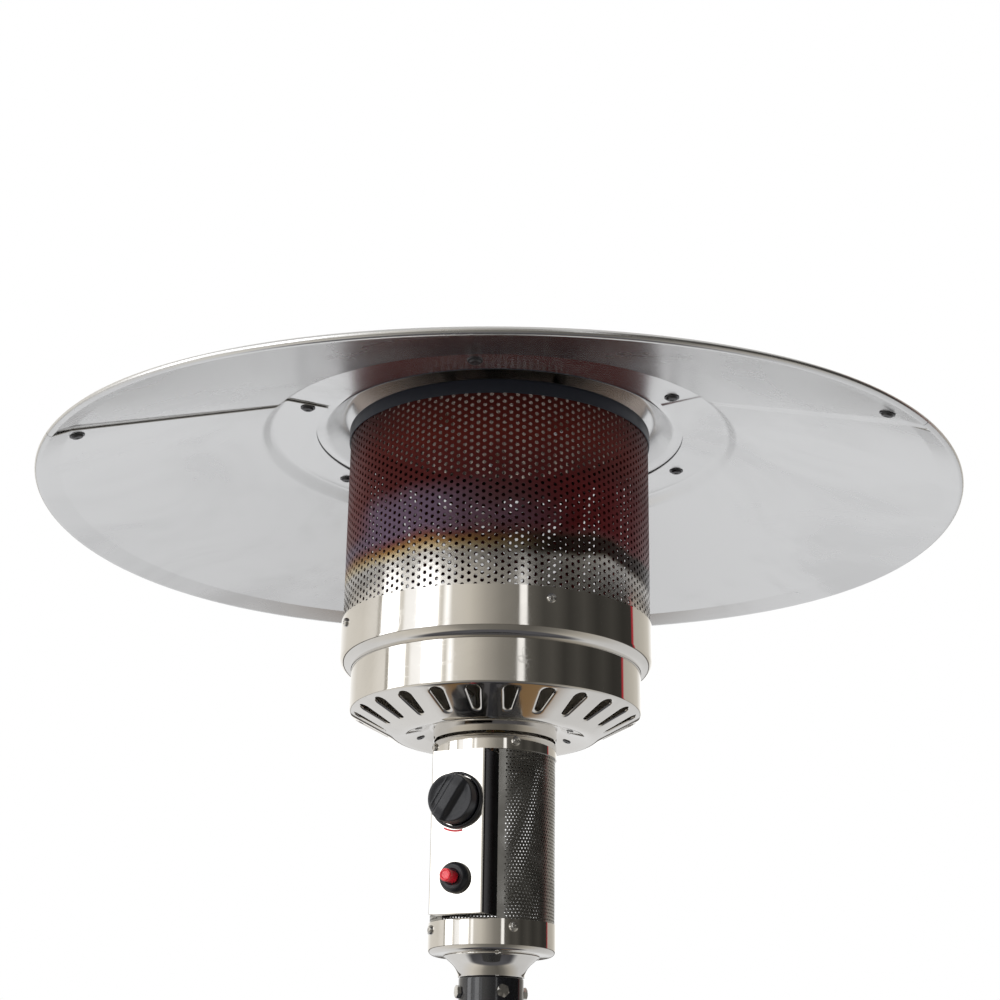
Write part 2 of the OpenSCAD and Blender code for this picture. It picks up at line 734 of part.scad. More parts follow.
module igniter_bezel() {
  color(black) on_panel(igniter_z) difference() {
    union() {
      cylinder(r = bezel_r, h = 3.6);
      translate([0, 0, 3.6 - eps]) cylinder(r1 = bezel_r - 0.6, r2 = bezel_r - 2.4, h = bezel_front - 3.6);
      translate([0, 0, -28]) cylinder(r = 9, h = 28 + eps);
    }
    translate([0, 0, button_tip - button_len - button_travel]) cylinder(r = button_bore_r, h = 40);
    translate([0, 0, bezel_front - 1.2]) cylinder(r1 = 6, r2 = 8, h = 2);
  }
}

module igniter_nut() {
  color("white") translate([0, -panel_front + sheet, igniter_z]) rotate([-90, 0, 0]) difference() {
    cylinder(r = 12.5, h = 4, $fn = 6);
    translate([0, 0, -1]) cylinder(r = 9.05, h = 6);
  }
}

module igniter_button() {
  color([0.8, 0.08, 0.12]) on_panel(igniter_z) translate([0, 0, button_tip - button_len]) {
    cylinder(r = button_r, h = button_len - 1);
    translate([0, 0, button_len - 1 - eps]) cylinder(r1 = button_r, r2 = button_r - 0.9, h = 1);
  }
}

// ---- Post, legs and base ----

module head_bolts() {
  color("silver") round_copies(head_azimuths()) translate([post_r, 0, head_bolt_z]) rotate([0, 90, 0]) {
    translate([0, 0, -5]) cylinder(r = m6_r, h = 5 + eps);
    hexagon(9.6, 0, 3.6);
  }
}

module post() {
  inner = post_r - post_wall;
  color(black) difference() {
    rotate_extrude() polygon(concat(
      [[inner, post_bottom], [post_r, post_bottom]],
      arc([post_r - post_wall, post_top - post_wall], post_wall, 0, 80, 4),
      [[inner, post_top]]
    ));
    round_copies(head_azimuths()) radial_hole(m6_r + fit, post_r, head_bolt_z);
    round_copies(leg_azimuths) radial_hole(m6_r + fit, post_r, post_bolt_z);
  }
}

module post_flange() {
  z0 = post_bottom - flange_plate_t;
  sleeve_r = post_r + 0.15;
  color(black) difference() {
    union() {
      translate([0, 0, z0]) cylinder(r = 80, h = flange_plate_t);
      translate([0, 0, post_bottom - eps]) cylinder(r = sleeve_r + 3, h = 55);
    }
    translate([0, 0, post_bottom]) cylinder(r = sleeve_r, h = 60);
    translate([0, 0, z0 - 1]) cylinder(r = 22, h = 10);
    round_copies(leg_azimuths) {
      for (s = [-1, 1]) translate([leg_top_bolt_r, s * leg_bolt_x, z0 - 1]) cylinder(r = m6_r + 0.3, h = 10);
      radial_hole(m6_r + fit, sleeve_r, post_bolt_z);
    }
  }
}

module post_bolts() {
  color("silver") round_copies(leg_azimuths) translate([post_r + 3.15, 0, post_bolt_z]) rotate([0, 90, 0]) {
    translate([0, 0, -8]) cylinder(r = m6_r, h = 8 + eps);
    hexagon(10, 0, 4);
  }
}

module support_leg(k) {
  top_z = post_bottom - flange_plate_t;
  color(black) rotate([0, 0, leg_azimuths[k - 1]]) difference() {
    translate([0, leg_w / 2, 0]) rotate([90, 0, 0]) linear_extrude(height = leg_w) polygon([
      [155, base_top], [leg_r, base_top], [leg_r, leg_knee_z], [68, top_z], [40, top_z],
      [40, top_z - leg_t], [66.5, top_z - leg_t], [leg_r - leg_t, leg_knee_z - 1],
      [leg_r - leg_t, base_top + leg_t], [155, base_top + leg_t]
    ]);
    for (s = [-1, 1]) {
      translate([leg_foot_bolt_r, s * leg_bolt_x, base_top - 1]) cylinder(r = m6_r + 0.3, h = 8);
      translate([leg_top_bolt_r, s * leg_bolt_x, top_z - 5]) cylinder(r = m6_r + 0.3, h = 8);
    }
  }
}

// A bolt pointing down from z1 with a nut under z0, the grip between them
module bolt_and_nut(z0, z1) {
  translate([0, 0, z0 - 7]) cylinder(r = m6_r, h = z1 - z0 + 7 + eps);
  hexagon(10, z1, z1 + 4);
  difference() {
    hexagon(10, z0 - 5, z0);
    translate([0, 0, z0 - 6]) cylinder(r = m6_r + fit, h = 7);
  }
}

module leg_fasteners() {
  color("silver") round_copies(leg_azimuths) for (s = [-1, 1]) {
    translate([leg_foot_bolt_r, s * leg_bolt_x, 0]) bolt_and_nut(base_top - base_sheet, base_top + leg_t);
    translate([leg_top_bolt_r, s * leg_bolt_x, 0])
      bolt_and_nut(post_bottom - flange_plate_t - leg_t, post_bottom);
  }
}

module base_pan() {
  edge = base_r - 2.5;
  low = brim_top - base_sheet;
  color(black) difference() {
    rotate_extrude() {
      polygon([
        [0, base_top - base_sheet], [plateau_r - 1, base_top - base_sheet], [brim_r - 1.2, low],
        [edge, low], [edge, brim_top], [brim_r, brim_top], [plateau_r, base_top], [0, base_top]
      ]);
      translate([edge, brim_top - 2.5]) circle(r = 2.5, $fn = 24);
    }
    round_copies(leg_azimuths) for (s = [-1, 1])
      translate([leg_foot_bolt_r, s * leg_bolt_x, base_top - 5]) cylinder(r = m6_r + 0.3, h = 10);
    round_copies(foot_azimuths) translate([brim_hole_r, 0, 0]) cylinder(r = 2.7, h = 12);
    round_copies(ground_hole_azimuths) translate([brim_hole_r, 0, 0]) cylinder(r = 4.5, h = 12);
    for (s = [-1, 1]) translate([s * bracket_bolt_x, sqrt(brim_hole_r ^ 2 - bracket_bolt_x ^ 2), 0])
      cylinder(r = m6_r + 0.3, h = 12);
  }
}

module base_feet() {
  low = brim_top - base_sheet;
  color([0.1, 0.1, 0.1]) round_copies(foot_azimuths) translate([brim_hole_r, 0, 0]) {
    cylinder(r1 = 6.6, r2 = 7.3, h = low);
    translate([0, 0, low - eps]) cylinder(r = 2.6, h = base_sheet + 2 * eps);
    translate([0, 0, brim_top]) cylinder(r1 = 4.4, r2 = 3, h = 2);
  }
}

module wheel_bracket() {
  plate_t = 3;
  ear_x = bracket_half_w;
  bolt_y = sqrt(brim_hole_r ^ 2 - bracket_bolt_x ^ 2);
  color(black) difference() {
    union() {
      translate([-ear_x, 190, brim_top]) cube([2 * ear_x, axle_y + 6 - 190, plate_t]);
      for (x = [-ear_x, ear_x - plate_t]) translate([x, 0, 0]) rotate([90, 0, 90])
        linear_extrude(height = plate_t) {
          polygon([[231, brim_top], [axle_y + 14, brim_top], [axle_y + 14, axle_z], [axle_y - 14, axle_z]]);
          translate([axle_y, axle_z]) circle(r = 14);
        }
    }
    translate([0, 0, brim_top - 1]) cylinder(r = brim_r + 1.5, h = 6);
    translate([-ear_x - 5, axle_y, axle_z]) rotate([0, 90, 0]) cylinder(r = axle_r + fit, h = 2 * ear_x + 10);
    for (s = [-1, 1]) translate([s * bracket_bolt_x, bolt_y, brim_top - 1]) cylinder(r = m6_r + 0.3, h = 6);
  }
}

module bracket_fasteners() {
  bolt_y = sqrt(brim_hole_r ^ 2 - bracket_bolt_x ^ 2);
  low = brim_top - base_sheet;
  color("silver") for (s = [-1, 1]) translate([s * bracket_bolt_x, bolt_y, 0]) {
    translate([0, 0, low - 4]) cylinder(r = m6_r, h = 9 + eps);
    hexagon(10, brim_top + 3, brim_top + 7);
    difference() {
      hexagon(10, low - 3.6, low);
      translate([0, 0, low - 5]) cylinder(r = m6_r + fit, h = 6);
    }
  }
}

module axle() {
  color("silver") translate([-axle_half, axle_y, axle_z]) rotate([0, 90, 0])
    cylinder(r = axle_r, h = 2 * axle_half);
}

module axle_caps() {
  start = wheel_inner_x + wheel_w + 0.5;
  color("silver") for (s = [-1, 1]) translate([s * start, axle_y, axle_z]) rotate([0, s * 90, 0])
    difference() {
      union() {
        cylinder(r = 9, h = 5);
        translate([0, 0, 5 - eps]) cylinder(r1 = 8, r2 = 4.5, h = 3);
      }
      translate([0, 0, -1]) cylinder(r = axle_r + 0.02, h = 1 + axle_half - start);
    }
}

// A five-spoke wheel with a solid tread, drawn along +Z from z = 0
module wheel_shape() {
  spoke_count = 5;
  difference() {
    union() {
      rotate_extrude() polygon([
        [wheel_r - 14, 0], [wheel_r - 3, 0], [wheel_r, 3], [wheel_r, wheel_w - 3],
        [wheel_r - 3, wheel_w], [wheel_r - 14, wheel_w]
      ]);
      cylinder(r = 13, h = wheel_w);
      for (k = [0 : spoke_count - 1]) rotate([0, 0, 360 / spoke_count * k])
        translate([9, -4.5, 6]) cube([wheel_r - 14 - 9 + 2, 9, wheel_w - 12]);
    }
    translate([0, 0, -1]) cylinder(r = axle_r + 0.06, h = wheel_w + 2);
  }
}

module wheel_left() {
  color([0.09, 0.09, 0.09]) translate([-wheel_inner_x, axle_y, axle_z]) rotate([0, -90, 0]) wheel_shape();
}

module wheel_right() {
  color([0.09, 0.09, 0.09]) translate([wheel_inner_x, axle_y, axle_z]) rotate([0, 90, 0]) wheel_shape();
}

// ---- Gas bottle housing ----

module bottle_housing() {
  wall = 0.8;
  hem = 2.2;
  color(black) difference() {
    union() {
      ring(bottle_housing_r, bottle_housing_r - wall, housing_z, housing_top_z);
      ring(bottle_housing_r, bottle_housing_r - hem, housing_z, housing_z + 9);
    }
    for (k = [0 : vent_count - 1], z = [housing_z + 45, housing_top_z - 55])
      rotate([0, 0, 360 / vent_count * (k + 0.5)]) translate([bottle_housing_r - 8, -vent_w / 2, z])
        cube([16, vent_w, vent_h]);
    round_copies(lid_screw_azimuths)
      radial_hole(m4_r + fit, bottle_housing_r, lid_screw_z);
  }
}

module bottle_housing_lid() {
  t = 1;
  in_r = bottle_housing_r - 0.8 - 0.1;
  color(black) difference() {
    rotate_extrude() polygon([
      [in_r - t, housing_top_z - lid_skirt], [in_r, housing_top_z - lid_skirt], [in_r, housing_top_z],
      [bottle_housing_r, housing_top_z], [bottle_housing_r, housing_top_z + 1.6],
      [bottle_housing_r - 9, housing_top_z + 4], [lid_hole_r + 14, housing_top_z + lid_rise],
      [lid_hole_r + 2, housing_top_z + lid_rise + 2], [lid_hole_r + 2, housing_top_z + lid_rise + 14],
      [lid_hole_r, housing_top_z + lid_rise + 14], [lid_hole_r, housing_top_z + lid_rise + 1],
      [lid_hole_r + 13, housing_top_z + lid_rise - 1], [in_r - t, housing_top_z + 1.4]
    ]);
    round_copies(lid_screw_azimuths)
      radial_hole(m4_r + fit, bottle_housing_r, lid_screw_z);
  }
}

module lid_screws() {
  color("silver") round_copies(lid_screw_azimuths)
    translate([bottle_housing_r, 0, lid_screw_z]) radial_screw(m4_r, 6, 4, 2.4);
}

reflector_panel(1);  // reflector_panel_1
reflector_panel(2);  // reflector_panel_2
reflector_panel(3);  // reflector_panel_3
reflector_centre_disc();
reflector_screws();
reflector_nuts();
reflector_studs();
stud_spacers();
wing_nuts();
emitter_top_cap();
emitter_screen();
emitter_screws();
burner_cup_upper();
burner_cup_lower();
burner_deck();
burner_bowl();
burner_plate();
dish_screws();
gas_orifice();
main_gas_tube();
pilot_tube();
pilot_burner();
thermocouple();
ignition_electrode();
housing_collar();
perforated_guard();
control_panel();
housing_bottom_cup();
housing_screws();
neck_tube();
neck_screws();
tilt_switch();
gas_valve();
valve_screws();
valve_plunger();
valve_stem();
knob();
knob_escutcheon();
igniter_bezel();
igniter_nut();
igniter_button();
head_bolts();
post();
post_flange();
post_bolts();
support_leg(1);  // support_leg_1
support_leg(2);  // support_leg_2
support_leg(3);  // support_leg_3
leg_fasteners();
base_pan();
base_feet();
wheel_bracket();
bracket_fasteners();
axle();
axle_caps();
wheel_left();
wheel_right();
bottle_housing();
bottle_housing_lid();
lid_screws();
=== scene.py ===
# %% [markdown]
# # An outdoor gas heater, piece by piece
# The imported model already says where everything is: a wide reflector over a perforated emitter,
# a slim post, and a steel housing for the gas bottle. This script keeps that frame and gives each
# visible piece its finished surface: rounded bends, real holes, heat-tinted steel. Every piece is
# worked out with numpy as a surface of two parameters, because sheet metal is just that: a
# section that was rolled, spun or folded. Sizes below are in millimetres, as a sheet-metal shop
# would write them; a piece is turned into metres once, when its mesh is made.

# %% Load the frame
import json
import math
import bpy
import bmesh
import numpy as np
from mathutils import Euler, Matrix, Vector


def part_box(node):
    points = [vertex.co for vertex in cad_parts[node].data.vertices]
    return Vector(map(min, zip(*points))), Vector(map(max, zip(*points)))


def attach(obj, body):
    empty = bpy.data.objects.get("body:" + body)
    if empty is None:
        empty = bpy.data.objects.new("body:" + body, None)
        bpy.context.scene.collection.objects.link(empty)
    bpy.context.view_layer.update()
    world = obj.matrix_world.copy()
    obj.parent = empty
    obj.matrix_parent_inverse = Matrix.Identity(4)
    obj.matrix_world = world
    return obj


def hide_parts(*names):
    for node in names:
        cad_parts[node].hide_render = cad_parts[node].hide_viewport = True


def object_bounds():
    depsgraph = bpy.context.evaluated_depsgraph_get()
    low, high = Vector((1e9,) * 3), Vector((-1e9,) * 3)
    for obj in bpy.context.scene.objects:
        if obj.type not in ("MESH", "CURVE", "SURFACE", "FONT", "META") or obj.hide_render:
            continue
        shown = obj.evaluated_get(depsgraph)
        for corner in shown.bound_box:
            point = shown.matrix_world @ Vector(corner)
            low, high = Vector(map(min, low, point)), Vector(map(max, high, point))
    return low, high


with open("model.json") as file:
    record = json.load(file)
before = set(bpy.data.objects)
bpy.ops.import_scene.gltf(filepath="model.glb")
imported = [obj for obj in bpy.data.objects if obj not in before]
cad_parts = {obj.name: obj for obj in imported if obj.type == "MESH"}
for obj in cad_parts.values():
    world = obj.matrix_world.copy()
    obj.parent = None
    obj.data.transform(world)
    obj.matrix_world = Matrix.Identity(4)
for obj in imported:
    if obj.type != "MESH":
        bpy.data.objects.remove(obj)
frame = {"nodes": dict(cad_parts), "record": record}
cad_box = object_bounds()
MM = 0.001


def low_high(name):
    """Lowest and highest corner of a CAD node, in millimetres."""
    low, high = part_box(name)
    return np.array(low) / MM, np.array(high) / MM


def middle_z(name):
    """Height of the middle of a CAD node, in millimetres."""
    low, high = low_high(name)
    return (low[2] + high[2]) / 2


# %% [markdown]
# ## Tools for sheet metal
# A shape is a pair: an array of points and a list of face arrays. Three ideas make nearly every
# piece here. A *lathe* turns a section round the post's axis. A *sheet* gives a drawn line its
# thickness by stepping to one side of it. And *thicken* gives thickness to a surface that has
# holes, by joining its two faces along every free edge. They are built from whole arrays, which
# keeps a screen with four thousand holes quick to make.

# %% Grids and joining


def grid_faces(rows, cols, wrap_rows=False, wrap_cols=False):
    """Quads of a grid of points: each joins (i, j) to the next row and the next column."""
    i = np.arange(rows if wrap_rows else rows - 1)[:, None]
    j = np.arange(cols if wrap_cols else cols - 1)[None, :]
    i2, j2 = (i + 1) % rows, (j + 1) % cols
    corners = np.broadcast_arrays(i * cols + j, i2 * cols + j, i2 * cols + j2, i * cols + j2)
    return np.stack(corners, -1).reshape(-1, 4)


def join(*shapes):
    """One shape from several: points are stacked and face numbers shifted."""
    points, faces, start = [], [], 0
    for more_points, more_faces in shapes:
        points.append(more_points)
        faces += [face + start for face in more_faces]
        start += len(more_points)
    return np.concatenate(points), faces


def outward(shape):
    """Turns faces round if the volume, the sum of a . (b x c) / 6 over fans of triangles, is negative."""
    points, faces = shape
    volume = 0.0
    for face in faces:
        for k in range(1, face.shape[1] - 1):
            a, b, c = points[face[:, 0]], points[face[:, k]], points[face[:, k + 1]]
            volume += np.einsum("ij,ij->", a, np.cross(b, c))
    return (points, [face[:, ::-1] for face in faces]) if volume < 0 else shape


def turned(shape, azimuth):
    """The shape turned about the Z axis by azimuth degrees."""
    points, faces = shape
    c, s = math.cos(math.radians(azimuth)), math.sin(math.radians(azimuth))
    return points @ np.array([[c, s, 0], [-s, c, 0], [0, 0, 1]]), faces


def round_copies(shape, azimuths):
    """One turned copy of the shape for each azimuth."""
    return join(*[turned(shape, azimuth) for azimuth in azimuths])


def aimed(shape, origin, direction, spin=0.0):
    """The shape with its own Z axis laid along direction and its origin moved to origin."""
    points, faces = turned(shape, spin)
    turn = np.array(Vector(direction).to_track_quat("Z", "Y").to_matrix())
    return points @ turn.T + np.asarray(origin, float), faces


# %% Outlines and sections


def rounded(corners, steps=6):
    """Outline through (r, z, radius) corners; each corner becomes the arc that touches both sides."""
    corners = [np.asarray(c, float) for c in corners]
    outline = [corners[0][:2]]
    for before, corner, after in zip(corners, corners[1:], corners[2:]):
        here, radius = corner[:2], corner[2]
        if radius == 0:
            outline.append(here)
            continue
        a, b = before[:2] - here, after[:2] - here
        a, b = a / np.linalg.norm(a), b / np.linalg.norm(b)
        half = math.acos(np.clip(a @ b, -1, 1)) / 2
        centre = here + (a + b) / np.linalg.norm(a + b) * radius / math.sin(half)
        reach = radius / math.tan(half)
        first, last = here + a * reach - centre, here + b * reach - centre
        start, end = math.atan2(first[1], first[0]), math.atan2(last[1], last[0])
        sweep = (end - start + math.pi) % (2 * math.pi) - math.pi
        angle = start + sweep * np.linspace(0, 1, steps + 1)
        outline += list(centre + radius * np.stack([np.cos(angle), np.sin(angle)], -1))
    outline.append(corners[-1][:2])
    return np.array(outline)


def arc(centre, radius, start, end, steps):
    """Points centre + radius (cos a, sin a) for evenly spaced angles in degrees."""
    angle = np.radians(np.linspace(start, end, steps + 1))
    return np.asarray(centre, float) + radius * np.stack([np.cos(angle), np.sin(angle)], -1)


def left_normals(path):
    """At each point of a path, the mitred direction to its left: the mean of both sides' normals."""
    step = np.diff(path, axis=0)
    step /= np.linalg.norm(step, axis=1, keepdims=True)
    side = np.stack([-step[:, 1], step[:, 0]], -1)
    before, after = np.vstack([side[:1], side]), np.vstack([side, side[-1:]])
    return (before + after) / (1 + np.sum(before * after, axis=1, keepdims=True))


def sheet(path, thick):
    """Closed section of a sheet: the path, and the path moved left by its thickness, back again."""
    return np.vstack([path, (path + thick * left_normals(path))[::-1]])


# %% Lathe, prism and thicken


def lathe(section, steps=192, start=0.0, sweep=360.0, closed=True):
    """Turns an (r, z) section about the Z axis: (r cos a, r sin a, z); a part turn gets end faces."""
    whole = sweep == 360.0
    angle = np.radians(start + sweep * np.arange(steps + (not whole)) / steps)
    r, z = section[:, 0], section[:, 1]
    points = np.stack([np.outer(np.cos(angle), r), np.outer(np.sin(angle), r),
                       np.tile(z, (len(angle), 1))], -1).reshape(-1, 3)
    faces = [grid_faces(len(angle), len(r), whole, closed)]
    if not whole:
        ring = np.arange(len(r))
        faces += [ring[None, :], ring[None, ::-1] + (len(angle) - 1) * len(r)]
    return outward((points, faces))


def prism(outline, low, high):
    """A closed (x, y) outline carried straight up from low to high, with flat ends."""
    count = len(outline)
    points = np.vstack([np.c_[outline, np.full(count, low)], np.c_[outline, np.full(count, high)]])
    ring = np.arange(count)
    return outward((points, [grid_faces(2, count, False, True), ring[None, :], ring[None, ::-1] + count]))


def thicken(outer, inner, faces):
    """Two faces of a sheet joined by a wall along every edge that only one face uses."""
    count = len(outer)
    one = np.concatenate([np.roll(f, -k, 1)[:, :2] for f in faces for k in range(f.shape[1])])
    code, back = one[:, 0] * count + one[:, 1], one[:, 1] * count + one[:, 0]
    free = one[~np.isin(code, back)]
    walls = np.stack([free[:, 1], free[:, 0], free[:, 0] + count, free[:, 1] + count], -1)
    points = np.vstack([outer, inner])
    return outward((points, faces + [f[:, ::-1] + count for f in faces] + [walls]))


def weld(outer, inner, faces):
    """Gives points that lie together on the outer face one number, so that neighbouring grids join."""
    _, first, number = np.unique(outer.round(3), axis=0, return_index=True, return_inverse=True)
    number = number.reshape(-1)
    return outer[first], inner[first], [number[face] for face in faces]


def on_cylinder(around, height, radius):
    """Wraps a flat sheet: the angle is the distance around over the nominal radius."""
    return np.stack([radius * np.cos(around), radius * np.sin(around), height], -1)


# %% [markdown]
# ## Turning a shape into a piece
# A mesh in Blender is points, edges and faces; `from_pydata` takes the arrays as they are. Points
# that meet at a pole are merged. Faces are smooth except where two of them meet at more than the
# crease angle, which is how a pressed edge keeps its crisp line while a bend stays round.

# %% Make a piece


def piece(name, shape, body, slot, material, *nodes, crease=32.0, merge=True):
    """A Blender object from a shape in millimetres; it rides on a body and stands for CAD nodes."""
    points, faces = shape
    mesh = bpy.data.meshes.new(name)
    mesh.from_pydata((points * MM).tolist(), [], [row for face in faces for row in face.tolist()])
    if merge:
        work = bmesh.new()
        work.from_mesh(mesh)
        bmesh.ops.remove_doubles(work, verts=work.verts, dist=2e-6)
        work.to_mesh(mesh)
        work.free()
    mesh.shade_smooth()
    mesh.set_sharp_from_angle(angle=math.radians(crease))
    mesh.materials.append(material)
    made = bpy.data.objects.new(name, mesh)
    bpy.context.scene.collection.objects.link(made)
    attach(made, body)
    if nodes:
        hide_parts(*nodes)
    triangles = sum(len(p.vertices) - 2 for p in mesh.polygons)
    print(f"{name}: {triangles} triangles, for {', '.join(nodes) or 'no node'}")
    return made


# %% [markdown]
# ## Effects that several finishes share
# Grain, smudges, scratches and powder-coat texture appear on many pieces, so each is a node group
# with named sockets, built once. A group here gives out only masks and heights. The material
# decides whether they go to roughness, to colour or to bump. All of them read object coordinates,
# so a pattern stays on its piece when the piece moves.

# %% Node helpers


def node(tree, kind, inputs=None, **settings):
    """A shader node with its settings; an input that is a socket is linked, a number is stored."""
    made = tree.nodes.new("ShaderNode" + kind)
    for key, value in settings.items():
        setattr(made, key, value)
    for key, value in (inputs or {}).items():
        if isinstance(value, bpy.types.NodeSocket):
            tree.links.new(value, made.inputs[key])
        else:
            made.inputs[key].default_value = value
    return made


def math_node(tree, operation, first, second=0.0, clamp=False):
    """The result socket of one Math node."""
    return node(tree, "Math", {0: first, 1: second}, operation=operation, use_clamp=clamp).outputs[0]


def scaled_noise(tree, vector, stretch, scale, detail=3.0):
    """Noise of coordinates stretched by three factors."""
    moved = node(tree, "Mapping", {"Vector": vector, "Scale": stretch})
    return node(tree, "TexNoise", {"Vector": moved.outputs[0], "Scale": scale, "Detail": detail}).outputs[0]


def band(tree, value, low, high, out_low=0.0, out_high=1.0):
    """Smoothly maps a range of value to a range of results."""
    inputs = {"Value": value, "From Min": low, "From Max": high, "To Min": out_low, "To Max": out_high}
    return node(tree, "MapRange", inputs, interpolation_type="SMOOTHSTEP").outputs[0]


def new_group(name, inputs, outputs):
    """An empty node group with float and vector sockets; gives back its tree, inputs and outputs."""
    tree = bpy.data.node_groups.new(name, "ShaderNodeTree")
    for socket, kind, value in inputs:
        made = tree.interface.new_socket(socket, in_out="INPUT", socket_type="NodeSocket" + kind)
        if value is not None:
            made.default_value = value
    for socket, kind in outputs:
        tree.interface.new_socket(socket, in_out="OUTPUT", socket_type="NodeSocket" + kind)
    return tree, tree.nodes.new("NodeGroupInput").outputs, tree.nodes.new("NodeGroupOutput").inputs


def use_group(tree, name, **inputs):
    """The outputs of a shared effect placed in a material with its own values."""
    made = tree.nodes.new("ShaderNodeGroup")
    made.node_tree = bpy.data.node_groups[name]
    for key, value in inputs.items():
        if isinstance(value, bpy.types.NodeSocket):
            tree.links.new(value, made.inputs[key])
        else:
            made.inputs[key].default_value = value
    return made.outputs


# %% Shared effects


def build_spun_grain():
    """Fine rings left by spinning and brushing: noise that is quick along Z and slow around it."""
    tree, given, out = new_group("spun_grain", [("Vector", "Vector", None)], [("Height", "Float")])
    fine = scaled_noise(tree, given["Vector"], (6, 6, 900), 1.0, 4.0)
    coarse = scaled_noise(tree, given["Vector"], (3, 3, 160), 1.0, 2.0)
    tree.links.new(math_node(tree, "ADD", fine, math_node(tree, "MULTIPLY", coarse, 0.6)), out["Height"])


def build_rolled_grain():
    """Straight lines from the rolling mill: noise that is slow along X and quick across it."""
    tree, given, out = new_group("rolled_grain", [("Vector", "Vector", None)], [("Height", "Float")])
    tree.links.new(scaled_noise(tree, given["Vector"], (4, 420, 420), 1.0, 4.0), out["Height"])


def build_smudges():
    """Soft cloudy patches where hands and cloths have been."""
    tree, given, out = new_group(
        "smudges", [("Vector", "Vector", None), ("Scale", "Float", 8.0)], [("Mask", "Float")])
    cloud = node(tree, "TexNoise", {"Vector": given["Vector"], "Scale": given["Scale"],
                                    "Detail": 5.0, "Roughness": 0.62, "Distortion": 0.8}).outputs[0]
    tree.links.new(band(tree, cloud, 0.42, 0.68), out["Mask"])


def build_scratches():
    """Sparse hairline scratches: two narrow bands of long stretched noise, crossing at an angle."""
    tree, given, out = new_group("scratches", [("Vector", "Vector", None)], [("Mask", "Float")])
    masks = []
    for turn, stretch in ((0.5, (3, 130, 60)), (-1.1, (2.2, 95, 60))):
        moved = node(tree, "Mapping", {"Vector": given["Vector"], "Rotation": (0, 0, turn), "Scale": stretch})
        line = node(tree, "TexNoise", {"Vector": moved.outputs[0], "Scale": 1.0, "Detail": 1.0}).outputs[0]
        far = math_node(tree, "ABSOLUTE", math_node(tree, "SUBTRACT", line, 0.5))
        thin = band(tree, far, 0.0, 0.012, 1.0, 0.0)
        patch = scaled_noise(tree, given["Vector"], (1, 1, 1), 9.0 + turn, 1.0)
        masks.append(math_node(tree, "MULTIPLY", thin, band(tree, patch, 0.56, 0.66)))
    tree.links.new(math_node(tree, "MAXIMUM", *masks), out["Mask"])


def build_orange_peel():
    """The skin of powder coat: fine rounded bumps."""
    tree, given, out = new_group(
        "orange_peel", [("Vector", "Vector", None), ("Scale", "Float", 700.0)], [("Height", "Float")])
    bumps = node(tree, "TexNoise", {"Vector": given["Vector"], "Scale": given["Scale"], "Detail": 2.0})
    tree.links.new(bumps.outputs[0], out["Height"])


for build in (build_spun_grain, build_rolled_grain, build_smudges, build_scratches, build_orange_peel):
    build()
print("effects", [group.name for group in bpy.data.node_groups])


# %% [markdown]
# ## Finishes
# A finish starts as a Principled shader with its own numbers: colour, metal or not, roughness.
# Then the shared effects vary its roughness and relief. The function below does that for most
# pieces; heat-tinted steel gets its own further down, because its colour follows the height.

# %% A finish with variation


def finish(name, colour, rough, metal=0.0, grain=None, grain_depth=0.0, smudge=0.1, smudge_scale=8.0,
           scratch=0.0, vary=0.06, **sockets):
    """A Principled material whose roughness, colour and relief vary with the shared effects."""
    material = bpy.data.materials.new(name)
    material.use_nodes = True
    tree = material.node_tree
    shader = tree.nodes["Principled BSDF"]
    shader.inputs["Metallic"].default_value = metal
    for key, value in sockets.items():
        shader.inputs[key.replace("_", " ")].default_value = value
    place = node(tree, "TexCoord").outputs["Object"]
    cloud = use_group(tree, "smudges", Vector=place, Scale=smudge_scale)["Mask"]
    lines = use_group(tree, "scratches", Vector=place)["Mask"]
    rough_cloud = math_node(tree, "ADD", math_node(tree, "MULTIPLY", cloud, smudge), rough)
    rough_all = math_node(tree, "ADD", math_node(tree, "MULTIPLY", lines, scratch), rough_cloud, clamp=True)
    tree.links.new(rough_all, shader.inputs["Roughness"])
    shade = node(tree, "Mix", {0: cloud, 6: (*colour, 1.0),
                               7: (*[c * (1 - vary) for c in colour], 1.0)}, data_type="RGBA")
    tree.links.new(shade.outputs[2], shader.inputs["Base Color"])
    if grain:
        height = use_group(tree, grain, Vector=place)["Height"]
        relief = node(tree, "Bump", {"Height": height, "Strength": 1.0, "Distance": grain_depth})
        tree.links.new(relief.outputs[0], shader.inputs["Normal"])
    return material


# %% The plain finishes
STEEL_COLOUR = (0.80, 0.775, 0.735)      # polished stainless steel, a little warm
polished_steel = finish("polished_steel", STEEL_COLOUR, 0.045, 1.0, "spun_grain", 2e-6, 0.05, 14.0, 0.1)
guard_steel = finish("guard_steel", (0.36, 0.355, 0.34), 0.24, 1.0, "spun_grain", 5e-6, 0.12, 20.0)
ALUMINIUM = (0.80, 0.80, 0.80)
reflector_sheet = finish("reflector_sheet", ALUMINIUM, 0.23, 1.0, "rolled_grain", 4e-7, 0.07, 5.0, 0.04)
disc_sheet = finish("disc_sheet", ALUMINIUM, 0.16, 1.0, "rolled_grain", 4e-7, 0.07, 7.0, 0.02)
inner_steel = finish("inner_steel", (0.55, 0.52, 0.47), 0.32, 1.0, "rolled_grain", 1e-5, 0.15, 12.0)
cap_black = finish("cap_black", (0.030, 0.034, 0.048), 0.34, 0.35, "spun_grain", 4e-6, 0.12, 12.0)
panel_steel = finish("panel_steel", STEEL_COLOUR, 0.05, 1.0, "spun_grain", 2e-6, 0.05, 14.0, 0.1)
plated_screw = finish("plated_screw", (0.80, 0.79, 0.77), 0.13, 1.0, "spun_grain", 3e-6, 0.10, 60.0)
